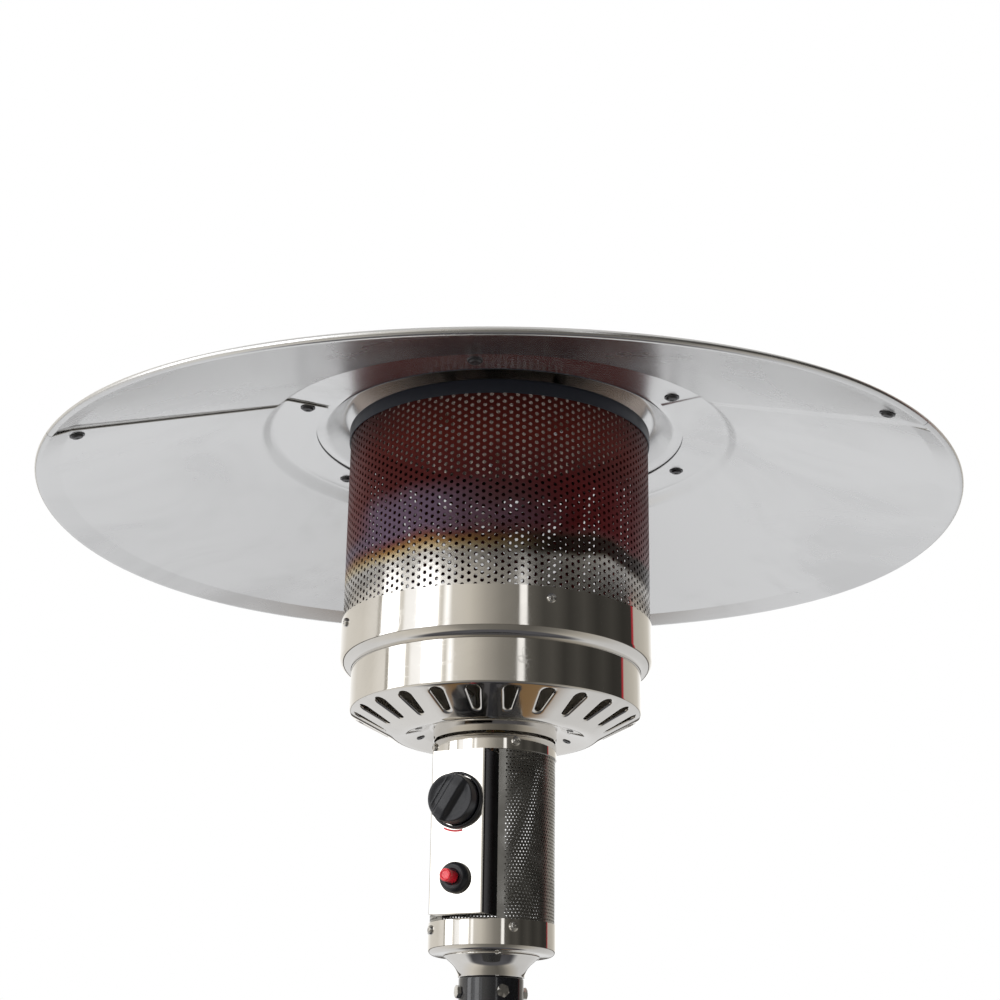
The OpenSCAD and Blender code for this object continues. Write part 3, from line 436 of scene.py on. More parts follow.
dark_screw = finish("dark_screw", (0.10, 0.10, 0.105), 0.30, 0.8, "orange_peel", 6e-6, 0.12, 60.0)
brass = finish("brass", (0.80, 0.60, 0.28), 0.22, 1.0, "spun_grain", 6e-6, 0.12, 40.0)
tube_aluminium = finish("tube_aluminium", (0.78, 0.78, 0.78), 0.25, 1.0, "rolled_grain", 6e-6, 0.1, 20.0)
copper = finish("copper", (0.78, 0.42, 0.26), 0.26, 1.0, "rolled_grain", 6e-6, 0.15, 30.0)
ceramic = finish("ceramic", (0.86, 0.84, 0.78), 0.16, 0.0, "orange_peel", 8e-6, 0.12, 30.0)
cast_metal = finish("cast_metal", (0.62, 0.61, 0.58), 0.42, 1.0, "orange_peel", 6e-5, 0.1, 20.0)
black_plastic = finish("black_plastic", (0.010, 0.011, 0.015), 0.30, 0.0, "orange_peel", 1.2e-5, 0.10, 30.0)
pale_plastic = finish("pale_plastic", (0.78, 0.77, 0.73), 0.38, 0.0, "orange_peel", 1e-5, 0.08, 20.0)
red_plastic = finish("red_plastic", (0.70, 0.018, 0.035), 0.15, 0.0, "orange_peel", 5e-6, 0.06, 60.0,
                     Coat_Weight=0.6)
red_print = finish("red_print", (0.62, 0.02, 0.035), 0.4, 0.0, "orange_peel", 2e-6, 0.1, 60.0)
gloss_black = finish("gloss_black", (0.010, 0.011, 0.014), 0.13, 0.0, "orange_peel", 1.6e-5, 0.08, 10.0, 0.15,
                     Coat_Weight=0.5)
powder_black = finish("powder_black", (0.022, 0.023, 0.025), 0.42, 0.0, "orange_peel", 7e-5, 0.10, 6.0, 0.1)


def blend_in(material, mask_of, colour, rough, metal):
    """Lays a second colour, roughness and metalness over a finish where the mask is one."""
    tree = material.node_tree
    shader = tree.nodes["Principled BSDF"]
    mask = mask_of(tree, node(tree, "SeparateXYZ", {0: node(tree, "TexCoord").outputs["Object"]}).outputs)
    old_colour = shader.inputs["Base Color"].links[0].from_socket
    old_rough = shader.inputs["Roughness"].links[0].from_socket
    old_metal = shader.inputs["Metallic"].default_value
    shade = node(tree, "Mix", {0: mask, 6: old_colour, 7: (*colour, 1.0)}, data_type="RGBA")
    tree.links.new(shade.outputs[2], shader.inputs["Base Color"])
    for key, old, new in (("Roughness", old_rough, rough), ("Metallic", old_metal, metal)):
        tree.links.new(node(tree, "Mix", {0: mask, 2: old, 3: new}).outputs[0], shader.inputs[key])


def inside_drum(tree, xyz):
    """One within the emitter's radius: under the cap, where the steel is still bright."""
    square = [math_node(tree, "MULTIPLY", axis, axis) for axis in xyz[:2]]
    radius = math_node(tree, "SQRT", math_node(tree, "ADD", *square))
    return band(tree, radius, 0.1330, 0.1334, 1.0, 0.0)


def painted_shade_on_returns(tree, xyz):
    """One on the control panel's folded sides, where a dark blue-grey is painted on the polished steel as
    shade.
    """
    return band(tree, math_node(tree, "ABSOLUTE", xyz[0]), 0.0232, 0.0240)


blend_in(cap_black, inside_drum, (0.56, 0.46, 0.39), 0.16, 1.0)
# Painted shade: the panel's folded sides get a dark blue-grey colour over the polished steel.
blend_in(panel_steel, painted_shade_on_returns, (0.075, 0.082, 0.100), 0.20, 1.0)
rubber = finish("rubber", (0.035, 0.035, 0.036), 0.72, 0.0, "orange_peel", 5e-5, 0.1, 30.0)
wheel_plastic = finish("wheel_plastic", (0.03, 0.03, 0.032), 0.48, 0.0, "orange_peel", 4e-5, 0.12, 25.0)
print("finishes", len(bpy.data.materials))

# %% [markdown]
# ## Heat-tinted steel
# Stainless steel that has glowed grows an oxide film. Thin film is straw, then gold, brown, purple
# and blue; where the metal was hottest it ends as dull maroon scale. On the emitter the lower
# edge stays cool and silver. So one group turns the height on the screen, pushed up and down by
# slow noise, into a colour from a ramp, and gives a mask of how metallic the surface still is.
# A flame never burns evenly, so four soft patches lay blue, red or scorched steel over the ramp.

# %% Heat tint
TINT_LOW, TINT_HIGH = 1.990, 2.172      # metres: the ends of the ramp on the screen
TINT_STOPS = [                          # height in metres, colour, how metallic
    (1.990, (0.80, 0.78, 0.75), 1.0), (2.020, (0.78, 0.75, 0.70), 1.0), (2.026, (0.80, 0.66, 0.42), 1.0),
    (2.031, (0.46, 0.26, 0.10), 0.95), (2.037, (0.22, 0.085, 0.075), 0.85),
    (2.050, (0.245, 0.135, 0.185), 0.85), (2.066, (0.16, 0.075, 0.085), 0.7),
    (2.088, (0.115, 0.022, 0.022), 0.45), (2.125, (0.145, 0.021, 0.016), 0.35),
    (2.150, (0.095, 0.014, 0.011), 0.35), (2.172, (0.030, 0.009, 0.008), 0.35)]
ACROSS = math.radians(24.0)             # the direction in which the patches' places are measured
PATCHES = [                             # uneven burning: (starts, full) across, heights, colour
    ((-0.02, 0.05), (2.016, 2.024, 2.034, 2.044), (0.050, 0.035, 0.030)),
    ((0.00, 0.07), (2.034, 2.046, 2.080, 2.100), (0.150, 0.020, 0.022)),
    ((0.00, -0.06), (2.036, 2.046, 2.066, 2.090), (0.190, 0.130, 0.195)),
    ((-0.10, -0.128), (2.040, 2.060, 2.120, 2.150), (0.180, 0.040, 0.035))]


def ramp(tree, value, stops, low, high):
    """A colour ramp whose stops are given on the scale from low to high."""
    made = node(tree, "ValToRGB", {"Fac": value})
    elements = made.color_ramp.elements
    for index, (place, colour) in enumerate(stops):
        if index >= len(elements):
            elements.new(1.0)
        elements[index].position = (place - low) / (high - low)
        elements[index].color = (*colour, 1.0)
    return made.outputs[0]


def build_heat_tint():
    """Colour and metal mask from height: (z + wave - low) / (high - low) looked up in two ramps."""
    tree, given, out = new_group("heat_tint", [("Vector", "Vector", None)],
                                 [("Color", "Color"), ("Metal", "Float"), ("Level", "Float")])
    x, y, z = node(tree, "SeparateXYZ", {0: given["Vector"]}).outputs
    slow = scaled_noise(tree, given["Vector"], (1, 1, 0.3), 7.0, 2.0)
    quick = scaled_noise(tree, given["Vector"], (1, 1, 0.6), 30.0, 2.0)
    wave = math_node(tree, "MULTIPLY", math_node(tree, "SUBTRACT", slow, 0.5), 0.034)
    ripple = math_node(tree, "MULTIPLY", math_node(tree, "SUBTRACT", quick, 0.5), 0.010)
    height = math_node(tree, "ADD", z, math_node(tree, "ADD", wave, ripple))
    span = 1 / (TINT_HIGH - TINT_LOW)
    level = math_node(tree, "MULTIPLY", math_node(tree, "SUBTRACT", height, TINT_LOW), span, clamp=True)
    colours = [(place, colour) for place, colour, _ in TINT_STOPS]
    metals = [(place, (metal,) * 3) for place, _, metal in TINT_STOPS]
    side = math_node(tree, "ADD", math_node(tree, "MULTIPLY", x, math.cos(ACROSS)),
                     math_node(tree, "MULTIPLY", y, math.sin(ACROSS)))
    shade = ramp(tree, level, colours, TINT_LOW, TINT_HIGH)
    for (edge, full), (z1, z2, z3, z4), colour in PATCHES:
        low_side = band(tree, height, z1, z2)
        mask = math_node(tree, "MULTIPLY", low_side, band(tree, height, z4, z3))
        mask = math_node(tree, "MULTIPLY", mask, band(tree, side, edge, full))
        shade = node(tree, "Mix", {0: mask, 6: shade, 7: (*colour, 1.0)}, data_type="RGBA").outputs[2]
    tree.links.new(shade, out["Color"])
    tree.links.new(ramp(tree, level, metals, TINT_LOW, TINT_HIGH), out["Metal"])
    tree.links.new(level, out["Level"])


def heat_tinted(name):
    """Screen steel: tint and metal mask by height, duller where the scale is thick."""
    material = bpy.data.materials.new(name)
    material.use_nodes = True
    tree = material.node_tree
    shader = tree.nodes["Principled BSDF"]
    place = node(tree, "TexCoord").outputs["Object"]
    tint = use_group(tree, "heat_tint", Vector=place)
    tree.links.new(tint["Color"], shader.inputs["Base Color"])
    tree.links.new(tint["Metal"], shader.inputs["Metallic"])
    shader.inputs["Specular IOR Level"].default_value = 0.18
    cloud = use_group(tree, "smudges", Vector=place, Scale=25.0)["Mask"]
    dull = band(tree, tint["Level"], 0.15, 0.55, 0.17, 0.40)
    rough = math_node(tree, "ADD", dull, math_node(tree, "MULTIPLY", cloud, 0.08), clamp=True)
    tree.links.new(rough, shader.inputs["Roughness"])
    height = use_group(tree, "rolled_grain", Vector=place)["Height"]
    relief = node(tree, "Bump", {"Height": height, "Strength": 1.0, "Distance": 6e-6})
    tree.links.new(relief.outputs[0], shader.inputs["Normal"])
    return material


build_heat_tint()
emitter_steel = heat_tinted("emitter_steel")
print("tint from", TINT_LOW, "to", TINT_HIGH, "m")

# %% [markdown]
# ## The reflector
# The real reflector is three pressed aluminium panels. Each has a flat inner flange, a short step,
# a long cone and a rim rolled round a wire bead. One long edge of each panel is stepped up by a
# sheet's thickness, the joggle, so that it laps over its neighbour and the outside stays smooth.
# The section is drawn once, given its thickness, and turned through a third of a circle. The lap
# is a second narrow grid whose lift eases from the raised level down to the panel's own level.

# %% Reflector panels
SEAM, THIRD = -12.6, 120.0              # degrees
LAP_BACK, LAP_END, LAP_STEP = 2.2, 2.0, 4.5
LAP_GAP = 0.45                          # air between lapped sheets, which reads as a dark line
REFLECTOR_T = 0.8
panel_low, panel_high = low_high("reflector_panel_1")
flange_z = panel_high[2] - 2 * REFLECTOR_T      # underside of the flat inner flange
rim_z = panel_low[2]
rim_r = cad_box[1][1] / MM
BEAD_R = 3.2
FLANGE_IN, FLANGE_OUT, STEP_R, BAND_R, TONGUE_R = 166.0, 206.0, 213.5, rim_r - 20.4, rim_r - 7.0
step_z, band_z = rim_z + 63.6, rim_z + 8.6
bead_centre = np.array([rim_r - BEAD_R, rim_z + BEAD_R])
MEET = -118.0                           # degrees on the bead where the rim band runs into it
SAG, LOBE = 1.5, 4.0                    # how thin panels settle: the rim's mean drop and its waves


def settle(r, azimuth):
    """Height change of the thin sheet: grows as ((r - flange) / 200)^1.6, up at seams, down between."""
    grows = (np.clip(np.asarray(r) - FLANGE_OUT, 0, None) / 200) ** 1.6
    return grows * (LOBE * np.cos(np.radians(3 * (np.asarray(azimuth) - SEAM))) - SAG)


def settled(shape):
    """The shape with every point moved up or down by settle."""
    points, faces = shape
    r, azimuth = np.hypot(points[:, 0], points[:, 1]), np.degrees(np.arctan2(points[:, 1], points[:, 0]))
    return points + np.stack([0 * r, 0 * r, settle(r, azimuth)], -1), faces


def panel_path(out_r):
    """Underside of a panel from the flange to out_r, with its bends rounded."""
    slope = (band_z - rim_z - 1) / (rim_r - BEAD_R - BAND_R)
    end = (out_r, band_z - (out_r - BAND_R) * slope, 0)
    return rounded([(FLANGE_IN, flange_z, 0), (FLANGE_OUT, flange_z, 9.0), (STEP_R, step_z, 9.0),
                    (BAND_R, band_z, 5.0), end])


def rolled_rim():
    """The panel's path with its end curled round the wire: three quarters of a circle."""
    curl = arc(bead_centre, BEAD_R - 0.02, MEET, 190, 20)
    return np.vstack([panel_path(curl[0, 0])[:-1], curl])


def lap_tongue(start):
    """The lapped edge: the section turned through a few degrees and lifted by an eased step."""
    section = sheet(panel_path(TONGUE_R), REFLECTOR_T)
    share = np.array([0, 0.3, 0.6, 0.78, 0.84, 0.88, 0.92, 0.96, 1.0])
    angle = np.radians(start + share * (LAP_BACK + LAP_STEP))
    ease = np.clip((share - 0.78) / 0.22, 0, 1)
    lift = (REFLECTOR_T + LAP_GAP) * (1 - ease * ease * (3 - 2 * ease))
    r, z = section[:, 0], section[:, 1]
    points = np.stack([np.outer(np.cos(angle), r), np.outer(np.sin(angle), r), z + lift[:, None]], -1)
    count = len(r)
    ring = np.arange(count)
    ends = [ring[None, :], ring[None, ::-1] + (len(angle) - 1) * count]
    return outward((points.reshape(-1, 3), [grid_faces(len(angle), count, False, True)] + ends))


main_sweep = THIRD + LAP_END - LAP_STEP
whole_path = rolled_rim()
edge_path = whole_path[whole_path[:, 0] > TONGUE_R - 6]
for k in range(3):
    seam = SEAM + THIRD * k
    sheet_part = lathe(sheet(whole_path, REFLECTOR_T), 96, seam + LAP_STEP, main_sweep)
    edge_part = lathe(sheet(edge_path, REFLECTOR_T), 6, seam + LAP_END + 0.1, LAP_STEP - LAP_END - 0.05)
    panel = settled(join(sheet_part, edge_part, lap_tongue(seam - LAP_BACK)))
    piece(f"reflector_panel_{k + 1}_sheet", panel, "frame", "reflector_sheet", reflector_sheet,
          f"reflector_panel_{k + 1}", crease=40)

# %% Reflector centre disc
_, disc_high = low_high("reflector_centre_disc")
disc_top = disc_high[2] - REFLECTOR_T
disc_low_z = flange_z + 2 * REFLECTOR_T
disc_path = rounded([(0, disc_top, 0), (140, disc_top, 9), (158, disc_low_z, 9), (199, disc_low_z, 0)])
disc_loop = np.vstack([disc_path, arc((199, disc_low_z + 0.4), 0.4, -60, 60, 4),
                       (disc_path + REFLECTOR_T * left_normals(disc_path))[::-1]])
disc_loop[-1, 0] = 0.0
piece("reflector_centre_disc_sheet", lathe(disc_loop, 144, closed=False), "frame", "reflector_sheet",
      disc_sheet, "reflector_centre_disc", crease=40)

# %% [markdown]
# ## The emitter's perforated screen
# The screen is sheet with staggered round holes, rolled into a drum and welded. Cutting four
# thousand holes with booleans would be slow and messy. Here the flat sheet is laid out as bricks:
# every brick is a six-cornered cell with its own hole, so neighbours share corners and the sheet
# has no gaps. The layout is wrapped on two radii, and the free edges become the holes' walls.

# %% Perforated sheet


def perforated(columns, rows, pitch_u, pitch_v, hole_r, sides, wrap, margin):
    """Flat (u, v) layout of staggered holes: the column j has its holes at v = (i + j/2) pitch."""
    lines = columns if wrap else columns + 1
    levels = 2 * rows + 1
    v_levels = np.concatenate([[-margin], np.arange(levels) * pitch_v / 2, [rows * pitch_v + margin]])
    count = len(v_levels)
    corner = np.stack(np.meshgrid(np.arange(lines) * pitch_u, v_levels, indexing="ij"), -1).reshape(-1, 2)

    def at(line, level):
        return (line % lines) * count + level + 1

    j, i = np.meshgrid(np.arange(columns), np.arange(rows), indexing="ij")
    keep = (j % 2 == 0) | (i < rows - 1)
    j, i = j[keep], i[keep]
    low = 2 * i + j % 2
    cell = np.stack([at(j + 1, low + 1), at(j + 1, low + 2), at(j, low + 2),
                     at(j, low + 1), at(j, low), at(j + 1, low)], -1)
    phase = 22.5 if sides == 8 else 0.0
    turn = np.radians(phase + 360 / sides * np.arange(sides))
    centre = np.stack([(j + 0.5) * pitch_u, (low + 1) * pitch_v / 2], -1)
    ring = centre[:, None] + hole_r * np.stack([np.cos(turn), np.sin(turn)], -1)
    hole = len(corner) + np.arange(len(j))[:, None] * sides + np.arange(sides)
    if sides == 8:
        tris = [("c0", "c1", "h0"), ("c1", "h1", "h0"), ("c2", "h3", "h2"), ("c2", "c3", "h3"),
                ("c3", "h4", "h3"), ("c3", "c4", "h4"), ("c4", "h5", "h4"), ("c5", "h7", "h6"),
                ("c5", "c0", "h7"), ("c0", "h0", "h7")]
        quads = [("c1", "c2", "h2", "h1"), ("c4", "c5", "h6", "h5")]
    else:
        tris = []
        quads = [(f"c{m}", f"c{(m + 1) % 6}", f"h{(m + 1) % 6}", f"h{m}") for m in range(6)]

    def gather(names):
        return np.stack([(cell if name[0] == "c" else hole)[:, int(name[1])] for name in names], -1)

    faces = [gather(names) for names in tris + quads]
    odd = np.arange(1, columns, 2)
    every = np.arange(columns)
    for column, level in ((odd, 0), (odd, levels - 2), (every, -1), (every, levels - 1)):
        faces.append(np.stack([at(column, level), at(column + 1, level),
                               at(column + 1, level + 1), at(column, level + 1)], -1))
    return np.vstack([corner, ring.reshape(-1, 2)]), faces


# %% Emitter screen
screen_low, screen_high = low_high("emitter_screen")
screen_r = screen_high[0]
SHEET = 1.0
COLUMNS, ROWS, PITCH, HOLE_R = 154, 27, 6.4, 1.75
pitch_around = 2 * math.pi * screen_r / COLUMNS
first_hole = low_high("burner_cup_upper")[1][2] - 3.0
flat, screen_faces = perforated(COLUMNS, ROWS, pitch_around, PITCH, HOLE_R, 8, True, 3.0)
angle, height = flat[:, 0] / screen_r, first_hole + flat[:, 1]
height = np.where(flat[:, 1] < 0, screen_low[2], np.minimum(height, screen_high[2]))
height = np.where(flat[:, 1] > ROWS * PITCH, screen_high[2], height)
drum = thicken(on_cylinder(angle, height, screen_r), on_cylinder(angle, height, screen_r - SHEET),
               screen_faces)
piece("emitter_screen_sheet", drum, "frame", "emitter_steel", emitter_steel, "emitter_screen",
      crease=50, merge=False)

# %% [markdown]
# ## Cups, cap and collar
# These are spun or drawn: a flat disc is pressed over a form until it has a floor, a rounded
# corner and a wall. Lathed sections are the honest way to make them. The corner radius matters
# more than anything else here, because on polished steel it is the line where reflections bend.

# %% Spun pieces
cap_low, cap_high = low_high("emitter_top_cap")
cap_r = cap_high[0]
skirt_r, cap_floor = screen_r + 0.3, cap_high[2] - SHEET
cap_loop = np.vstack([
    [[0, cap_floor]],
    rounded([(0, cap_floor, 0), (skirt_r, cap_floor, 0.8), (skirt_r, cap_low[2], 0)]),
    rounded([(skirt_r, cap_low[2], 0), (cap_r, cap_low[2], 0.4), (cap_r, cap_high[2], 2.0),
             (0, cap_high[2], 0)])])
piece("emitter_top_cap_shell", lathe(cap_loop, 144, closed=False), "frame", "cap_black", cap_black,
      "emitter_top_cap")

upper_low, upper_high = low_high("burner_cup_upper")
upper_r = upper_high[0]
upper_path = rounded([(upper_r - 9.6, upper_low[2], 0), (upper_r, upper_low[2], 9.5),
                      (upper_r, upper_high[2], 0)], 12)
piece("burner_cup_upper_shell", lathe(sheet(upper_path, SHEET), 192), "frame", "head_steel",
      polished_steel, "burner_cup_upper", crease=50)

collar_low, collar_high = low_high("housing_collar")
collar_r = collar_high[0]
collar_path = rounded([(collar_r, collar_low[2], 0), (collar_r, collar_high[2], 4.0),
                       (34, collar_high[2], 0)], 10)
piece("housing_collar_shell", lathe(sheet(collar_path, SHEET), 144), "frame", "head_steel",
      polished_steel, "housing_collar", crease=50)

cup_low, cup_high = low_high("housing_bottom_cup")
cup_path = rounded([(26, cup_low[2], 0), (collar_r, cup_low[2], 5.0), (collar_r, cup_high[2], 0)], 10)
piece("housing_bottom_cup_shell", lathe(sheet(cup_path, SHEET), 144), "frame", "head_steel",
      polished_steel, "housing_bottom_cup", crease=50)

post_low, post_high = low_high("post")
post_r = post_high[0]
neck_low, neck_high = low_high("neck_tube")
neck_r = neck_high[0]
neck_path = rounded([(post_r - 1.5, neck_low[2], 0), (post_r - 1.5, post_high[2], 0.5),
                     (post_r + 0.6, post_high[2] + 0.6, 0.8), (post_r + 1.9, post_high[2] + 8.0, 16),
                     (neck_r - 1, neck_high[2] - 1.4, 4.0), (neck_r, neck_high[2] - 1.0, 0.5),
                     (neck_r, neck_high[2], 0)], 10)
piece("neck_tube_shell", lathe(sheet(neck_path, SHEET), 144), "frame", "head_steel", polished_steel,
      "neck_tube", crease=50)

# %% [markdown]
# ## The lower cup and its air slots
# Twenty-four slots let air into the burner. Each slot's edge is pressed inwards a little, and
# that small lip catches the light, so it is modelled. A slot and its share of the dish make one
# cell: the slot's outline and the cell's border have the same number of points, and the rings
# between them are a straight blend from one to the other. Near the slot the surface rises by
# lip (1 - d / width) squared, where d is the distance from the slot's edge.

# %% Lower cup
_, dish_high = low_high("burner_cup_lower")
dish_r, neck_z = dish_high[0], collar_high[2] + 1.1
SLOTS, PER_CELL = 24, 8                 # slots, and steps of the grid along a cell's arc
IN_R, OUT_R = 91.0, dish_r - 3.0        # the slotted cone
in_z, out_z = neck_z + 5.0, neck_z + 21.9
LIP, LIP_WIDTH = 1.1, 1.8


def slot_outline():
    """Round ends joined by straight sides, in order: inner end, side, outer end, side."""
    inner = arc((98.2, 0), 3.1, 270, 90, PER_CELL)
    outer = arc((116.5, 0), 5.5, 90, -90, PER_CELL)
    share = np.linspace(0, 1, PER_CELL + 1)[1:-1, None]
    up = inner[-1] + share * (outer[0] - inner[-1])
    down = outer[-1] + share * (inner[0] - outer[-1])
    return np.vstack([inner, up, outer, down])


def cell_border():
    """The cell's border point by point with the slot's: inner arc, side, outer arc, side."""
    half = math.radians(180 / SLOTS)
    turn = np.linspace(-half, half, PER_CELL + 1)
    radii = np.linspace(IN_R, OUT_R, PER_CELL + 1)[1:-1]
    r = np.concatenate([np.full(PER_CELL + 1, IN_R), radii, np.full(PER_CELL + 1, OUT_R), radii[::-1]])
    a = np.concatenate([turn, np.full(PER_CELL - 1, half), turn[::-1], np.full(PER_CELL - 1, -half)])
    return np.stack([r * np.cos(a), r * np.sin(a)], -1)


def slotted_cone():
    """Outer and inner points of the ring of slotted cells, and their faces."""
    slot, border = slot_outline(), cell_border()
    blend = np.array([0, 0.04, 0.09, 0.15, 0.24, 0.4, 0.65, 1.0])[:, None, None]
    flat = slot + blend * (border - slot)
    edge = np.linalg.norm(flat - slot, axis=-1)
    rise = LIP * np.clip(1 - edge / LIP_WIDTH, 0, 1) ** 2
    slope = (out_z - in_z) / (OUT_R - IN_R)
    radius = np.linalg.norm(flat, axis=-1)
    z = in_z + (radius - IN_R) * slope + rise
    along = flat / radius[..., None]
    normal = np.concatenate([-along * slope, np.ones((*radius.shape, 1))], -1) / math.hypot(slope, 1)
    outer = np.concatenate([flat, z[..., None]], -1)
    cell_faces = grid_faces(len(blend), len(slot), False, True)
    azimuths = 360 / SLOTS * np.arange(SLOTS)
    cells = round_copies((outer.reshape(-1, 3), [cell_faces]), azimuths)
    inside = round_copies(((outer + SHEET * normal).reshape(-1, 3), [cell_faces]), azimuths)
    return cells[0], inside[0], cells[1]


def turned_surface(path, steps):
    """Outer and inner points of a path turned about Z, with the inner one a sheet's thickness left."""
    angle = np.radians(360 / steps * np.arange(steps))
    faces = [grid_faces(steps, len(path), True, False)]
    both = []
    for line in (path, path + SHEET * left_normals(path)):
        both.append(np.stack([np.outer(np.cos(angle), line[:, 0]), np.outer(np.sin(angle), line[:, 0]),
                              np.tile(line[:, 1], (steps, 1))], -1).reshape(-1, 3))
    return both[0], both[1], faces


dish_steps = SLOTS * PER_CELL
hub_path = rounded([(collar_r, neck_z, 0), (collar_r, neck_z + 12.0, 1.2), (56.6, neck_z + 11.9, 1.6),
                    (64.0, neck_z + 7.0, 12.0), (83.5, neck_z + 1.0, 14.0), (IN_R, in_z, 0)], 8)
wall_path = rounded([(OUT_R, out_z, 0), (dish_r, neck_z + 23.5, 2.6), (dish_r, dish_high[2], 0)], 10)
hub, wall, cone = turned_surface(hub_path, dish_steps), turned_surface(wall_path, dish_steps), slotted_cone()
cone = (cone[0], cone[1], [face[:, ::-1] for face in cone[2]])
start, dish_faces = 0, []
for part in (hub, wall, cone):
    dish_faces += [face + start for face in part[2]]
    start += len(part[0])
dish = weld(np.vstack([hub[0], wall[0], cone[0]]), np.vstack([hub[1], wall[1], cone[1]]), dish_faces)
piece("burner_cup_lower_shell", thicken(*dish), "frame", "head_steel", polished_steel,
      "burner_cup_lower", crease=38, merge=False)

# %% [markdown]
# ## Guard and control panel
# The guard is the same perforated sheet with finer holes, rolled round the valve and open at the
# front. The control panel fills the opening: a strip of polished sheet folded into a U, with its
# ends trimmed to the guard's curve. A fold in sheet this thin has an inside radius of about the
# sheet's thickness, which is what gives the panel its soft bright edge.

# %% Perforated guard
guard_low, guard_high = low_high("perforated_guard")
guard_r = guard_high[0]
panel_low_corner, panel_high_corner = low_high("control_panel")
GUARD_T, GUARD_HOLE = 0.8, 0.9
GUARD_ROW, GUARD_PITCH, BORDER = 2.75, 3.15, 5.0
window = math.asin((panel_high_corner[0] + 0.2) / guard_r)
arc_length = guard_r * (2 * math.pi - 2 * window)
guard_rows = int(round((collar_low[2] - cup_high[2] + 3.0) / GUARD_ROW / 2)) * 2
guard_holes = int((arc_length - 2 * BORDER) / GUARD_PITCH)
pitch_along = (arc_length - 2 * BORDER) / guard_holes
flat, guard_faces = perforated(guard_rows, guard_holes, GUARD_ROW, pitch_along, GUARD_HOLE, 6, False, BORDER)
guard_start = -math.pi / 2 + window
angle = guard_start + (flat[:, 1] + BORDER) / guard_r
mesh_low = cup_high[2] - 1.5            # the lower edge of the holed part
height = mesh_low + flat[:, 0]
mesh_part = thicken(on_cylinder(angle, height, guard_r), on_cylinder(angle, height, guard_r - GUARD_T),
                    guard_faces)
inside_r, bands = guard_r - GUARD_T, []
for low, high in ((guard_low[2], mesh_low), (mesh_low + guard_rows * GUARD_ROW, guard_high[2])):
    band_loop = np.array([(inside_r, low), (guard_r, low), (guard_r, high), (inside_r, high)])
    bands.append(lathe(band_loop, 96, math.degrees(guard_start), 360 - 2 * math.degrees(window)))
piece("perforated_guard_sheet", join(mesh_part, *bands), "frame", "guard_steel", guard_steel,
      "perforated_guard", crease=50, merge=False)

# %% Control panel
half, front, back = panel_high_corner[0], panel_low_corner[1], panel_high_corner[1]
low, high = panel_low_corner[2], panel_high_corner[2]
BEND = 2.2
u_path = rounded([(half, back, 0), (half, front, BEND), (-half, front, BEND), (-half, back, 0)], 8)
folded = prism(sheet(u_path, -SHEET), low, high)
cut = math.asin((half - 0.6) / (guard_r + 0.3))
flange_outline = np.vstack([
    rounded([(half - 0.6, back - 1, 0), (half - 0.6, front + 0.6, BEND - 0.6),
             (-half + 0.6, front + 0.6, BEND - 0.6), (-half + 0.6, back - 1, 0)], 6),
    arc((0, 0), guard_r + 0.3, -90 - math.degrees(cut), -90 + math.degrees(cut), 24)])
flanges = [prism(flange_outline, z, z + SHEET) for z in (low + 0.05, high - SHEET - 0.05)]
piece("control_panel_sheet", join(folded, *flanges), "frame", "head_steel", panel_steel,
      "control_panel", crease=50)

# %% [markdown]
# ## The knob and the igniter
# The knob is a moulding: a skirt, a face with two scooped crescents, and a grip bar between them.
# Its face is a height over a disc. Across the bar, the height is the bar's top in the middle and
# falls to the scoop by a smooth step; near the rim it rises again to the edge. The skirt below is
# added as further rings, so that the whole knob is one closed surface.

# %% Knob
knob_z = middle_z("knob")
SKIRT_R, FACE_R, FACE_T, GRIP_T, GAP = 20.4, 19.6, 15.5, 19.5, 3.3
LEAN = 57.0                             # degrees the grip bar leans in its off position


def smooth_step(value, low, high):
    """0 below low, 1 above high, and 3s^2 - 2s^3 between them."""
    share = np.clip((value - low) / (high - low), 0, 1)
    return share * share * (3 - 2 * share)


def knob_height(x, y):
    """Height of the knob's face: bar, sloping sides, scooped crescents and a raised thin pointer."""
    r = np.hypot(x, y)
    bar = 1 - smooth_step(np.abs(x), 3.4, 7.6)
    floor = FACE_T - 0.9 + 0.9 * smooth_step(r, 13.0, FACE_R - 0.8)
    pointer = 0.5 * (1 - smooth_step(np.abs(x + 11.2), 0.15, 0.5)) * (1 - smooth_step(np.abs(y), 12.5, 13.5))
    top = GRIP_T - 1.3 * smooth_step(np.abs(y), 9.0, FACE_R)
    return floor + (top - floor) * bar + pointer * (1 - bar)


def knob_shape():
    """Rings of the knob in its own frame: face by knob_height, then side, skirt and hollow back."""
    turn = np.radians(np.arange(144) * 2.5)
    radii = np.concatenate([[0.0], np.linspace(0.8, FACE_R - 0.9, 34)])
    x, y = np.outer(radii, np.cos(turn)), np.outer(radii, np.sin(turn))
    rings = [np.stack([x, y, knob_height(x, y)], -1)]
    edge = rings[0][-1, :, 2]
    for radius, drop in ((FACE_R - 0.35, 0.12), (FACE_R - 0.05, 0.5), (FACE_R + 0.02, 1.0)):
        rings.append(np.stack([radius * np.cos(turn), radius * np.sin(turn), edge - drop], -1)[None])
    for radius, t in ((SKIRT_R - 0.25, GAP + 6.4), (SKIRT_R, GAP + 4), (SKIRT_R, GAP + 0.6),
                      (SKIRT_R - 0.5, GAP), (18.4, GAP), (18.4, 8.8), (6.5, 8.8), (6.5, GAP + 0.7),
                      (0.0, GAP + 0.7)):
        level = np.full_like(turn, t)
        rings.append(np.stack([radius * np.cos(turn), radius * np.sin(turn), level], -1)[None])
    points = np.concatenate(rings)
    return outward((points.reshape(-1, 3), [grid_faces(len(points), len(turn), False, True)]))


def on_panel(shape, z):
    """Lays a shape drawn upwards on the panel's face at height z: (x, y, t) goes to (x, front - t, z + y)."""
    points, faces = shape
    return outward((np.stack([points[:, 0], front - points[:, 2], z + points[:, 1]], -1), faces))


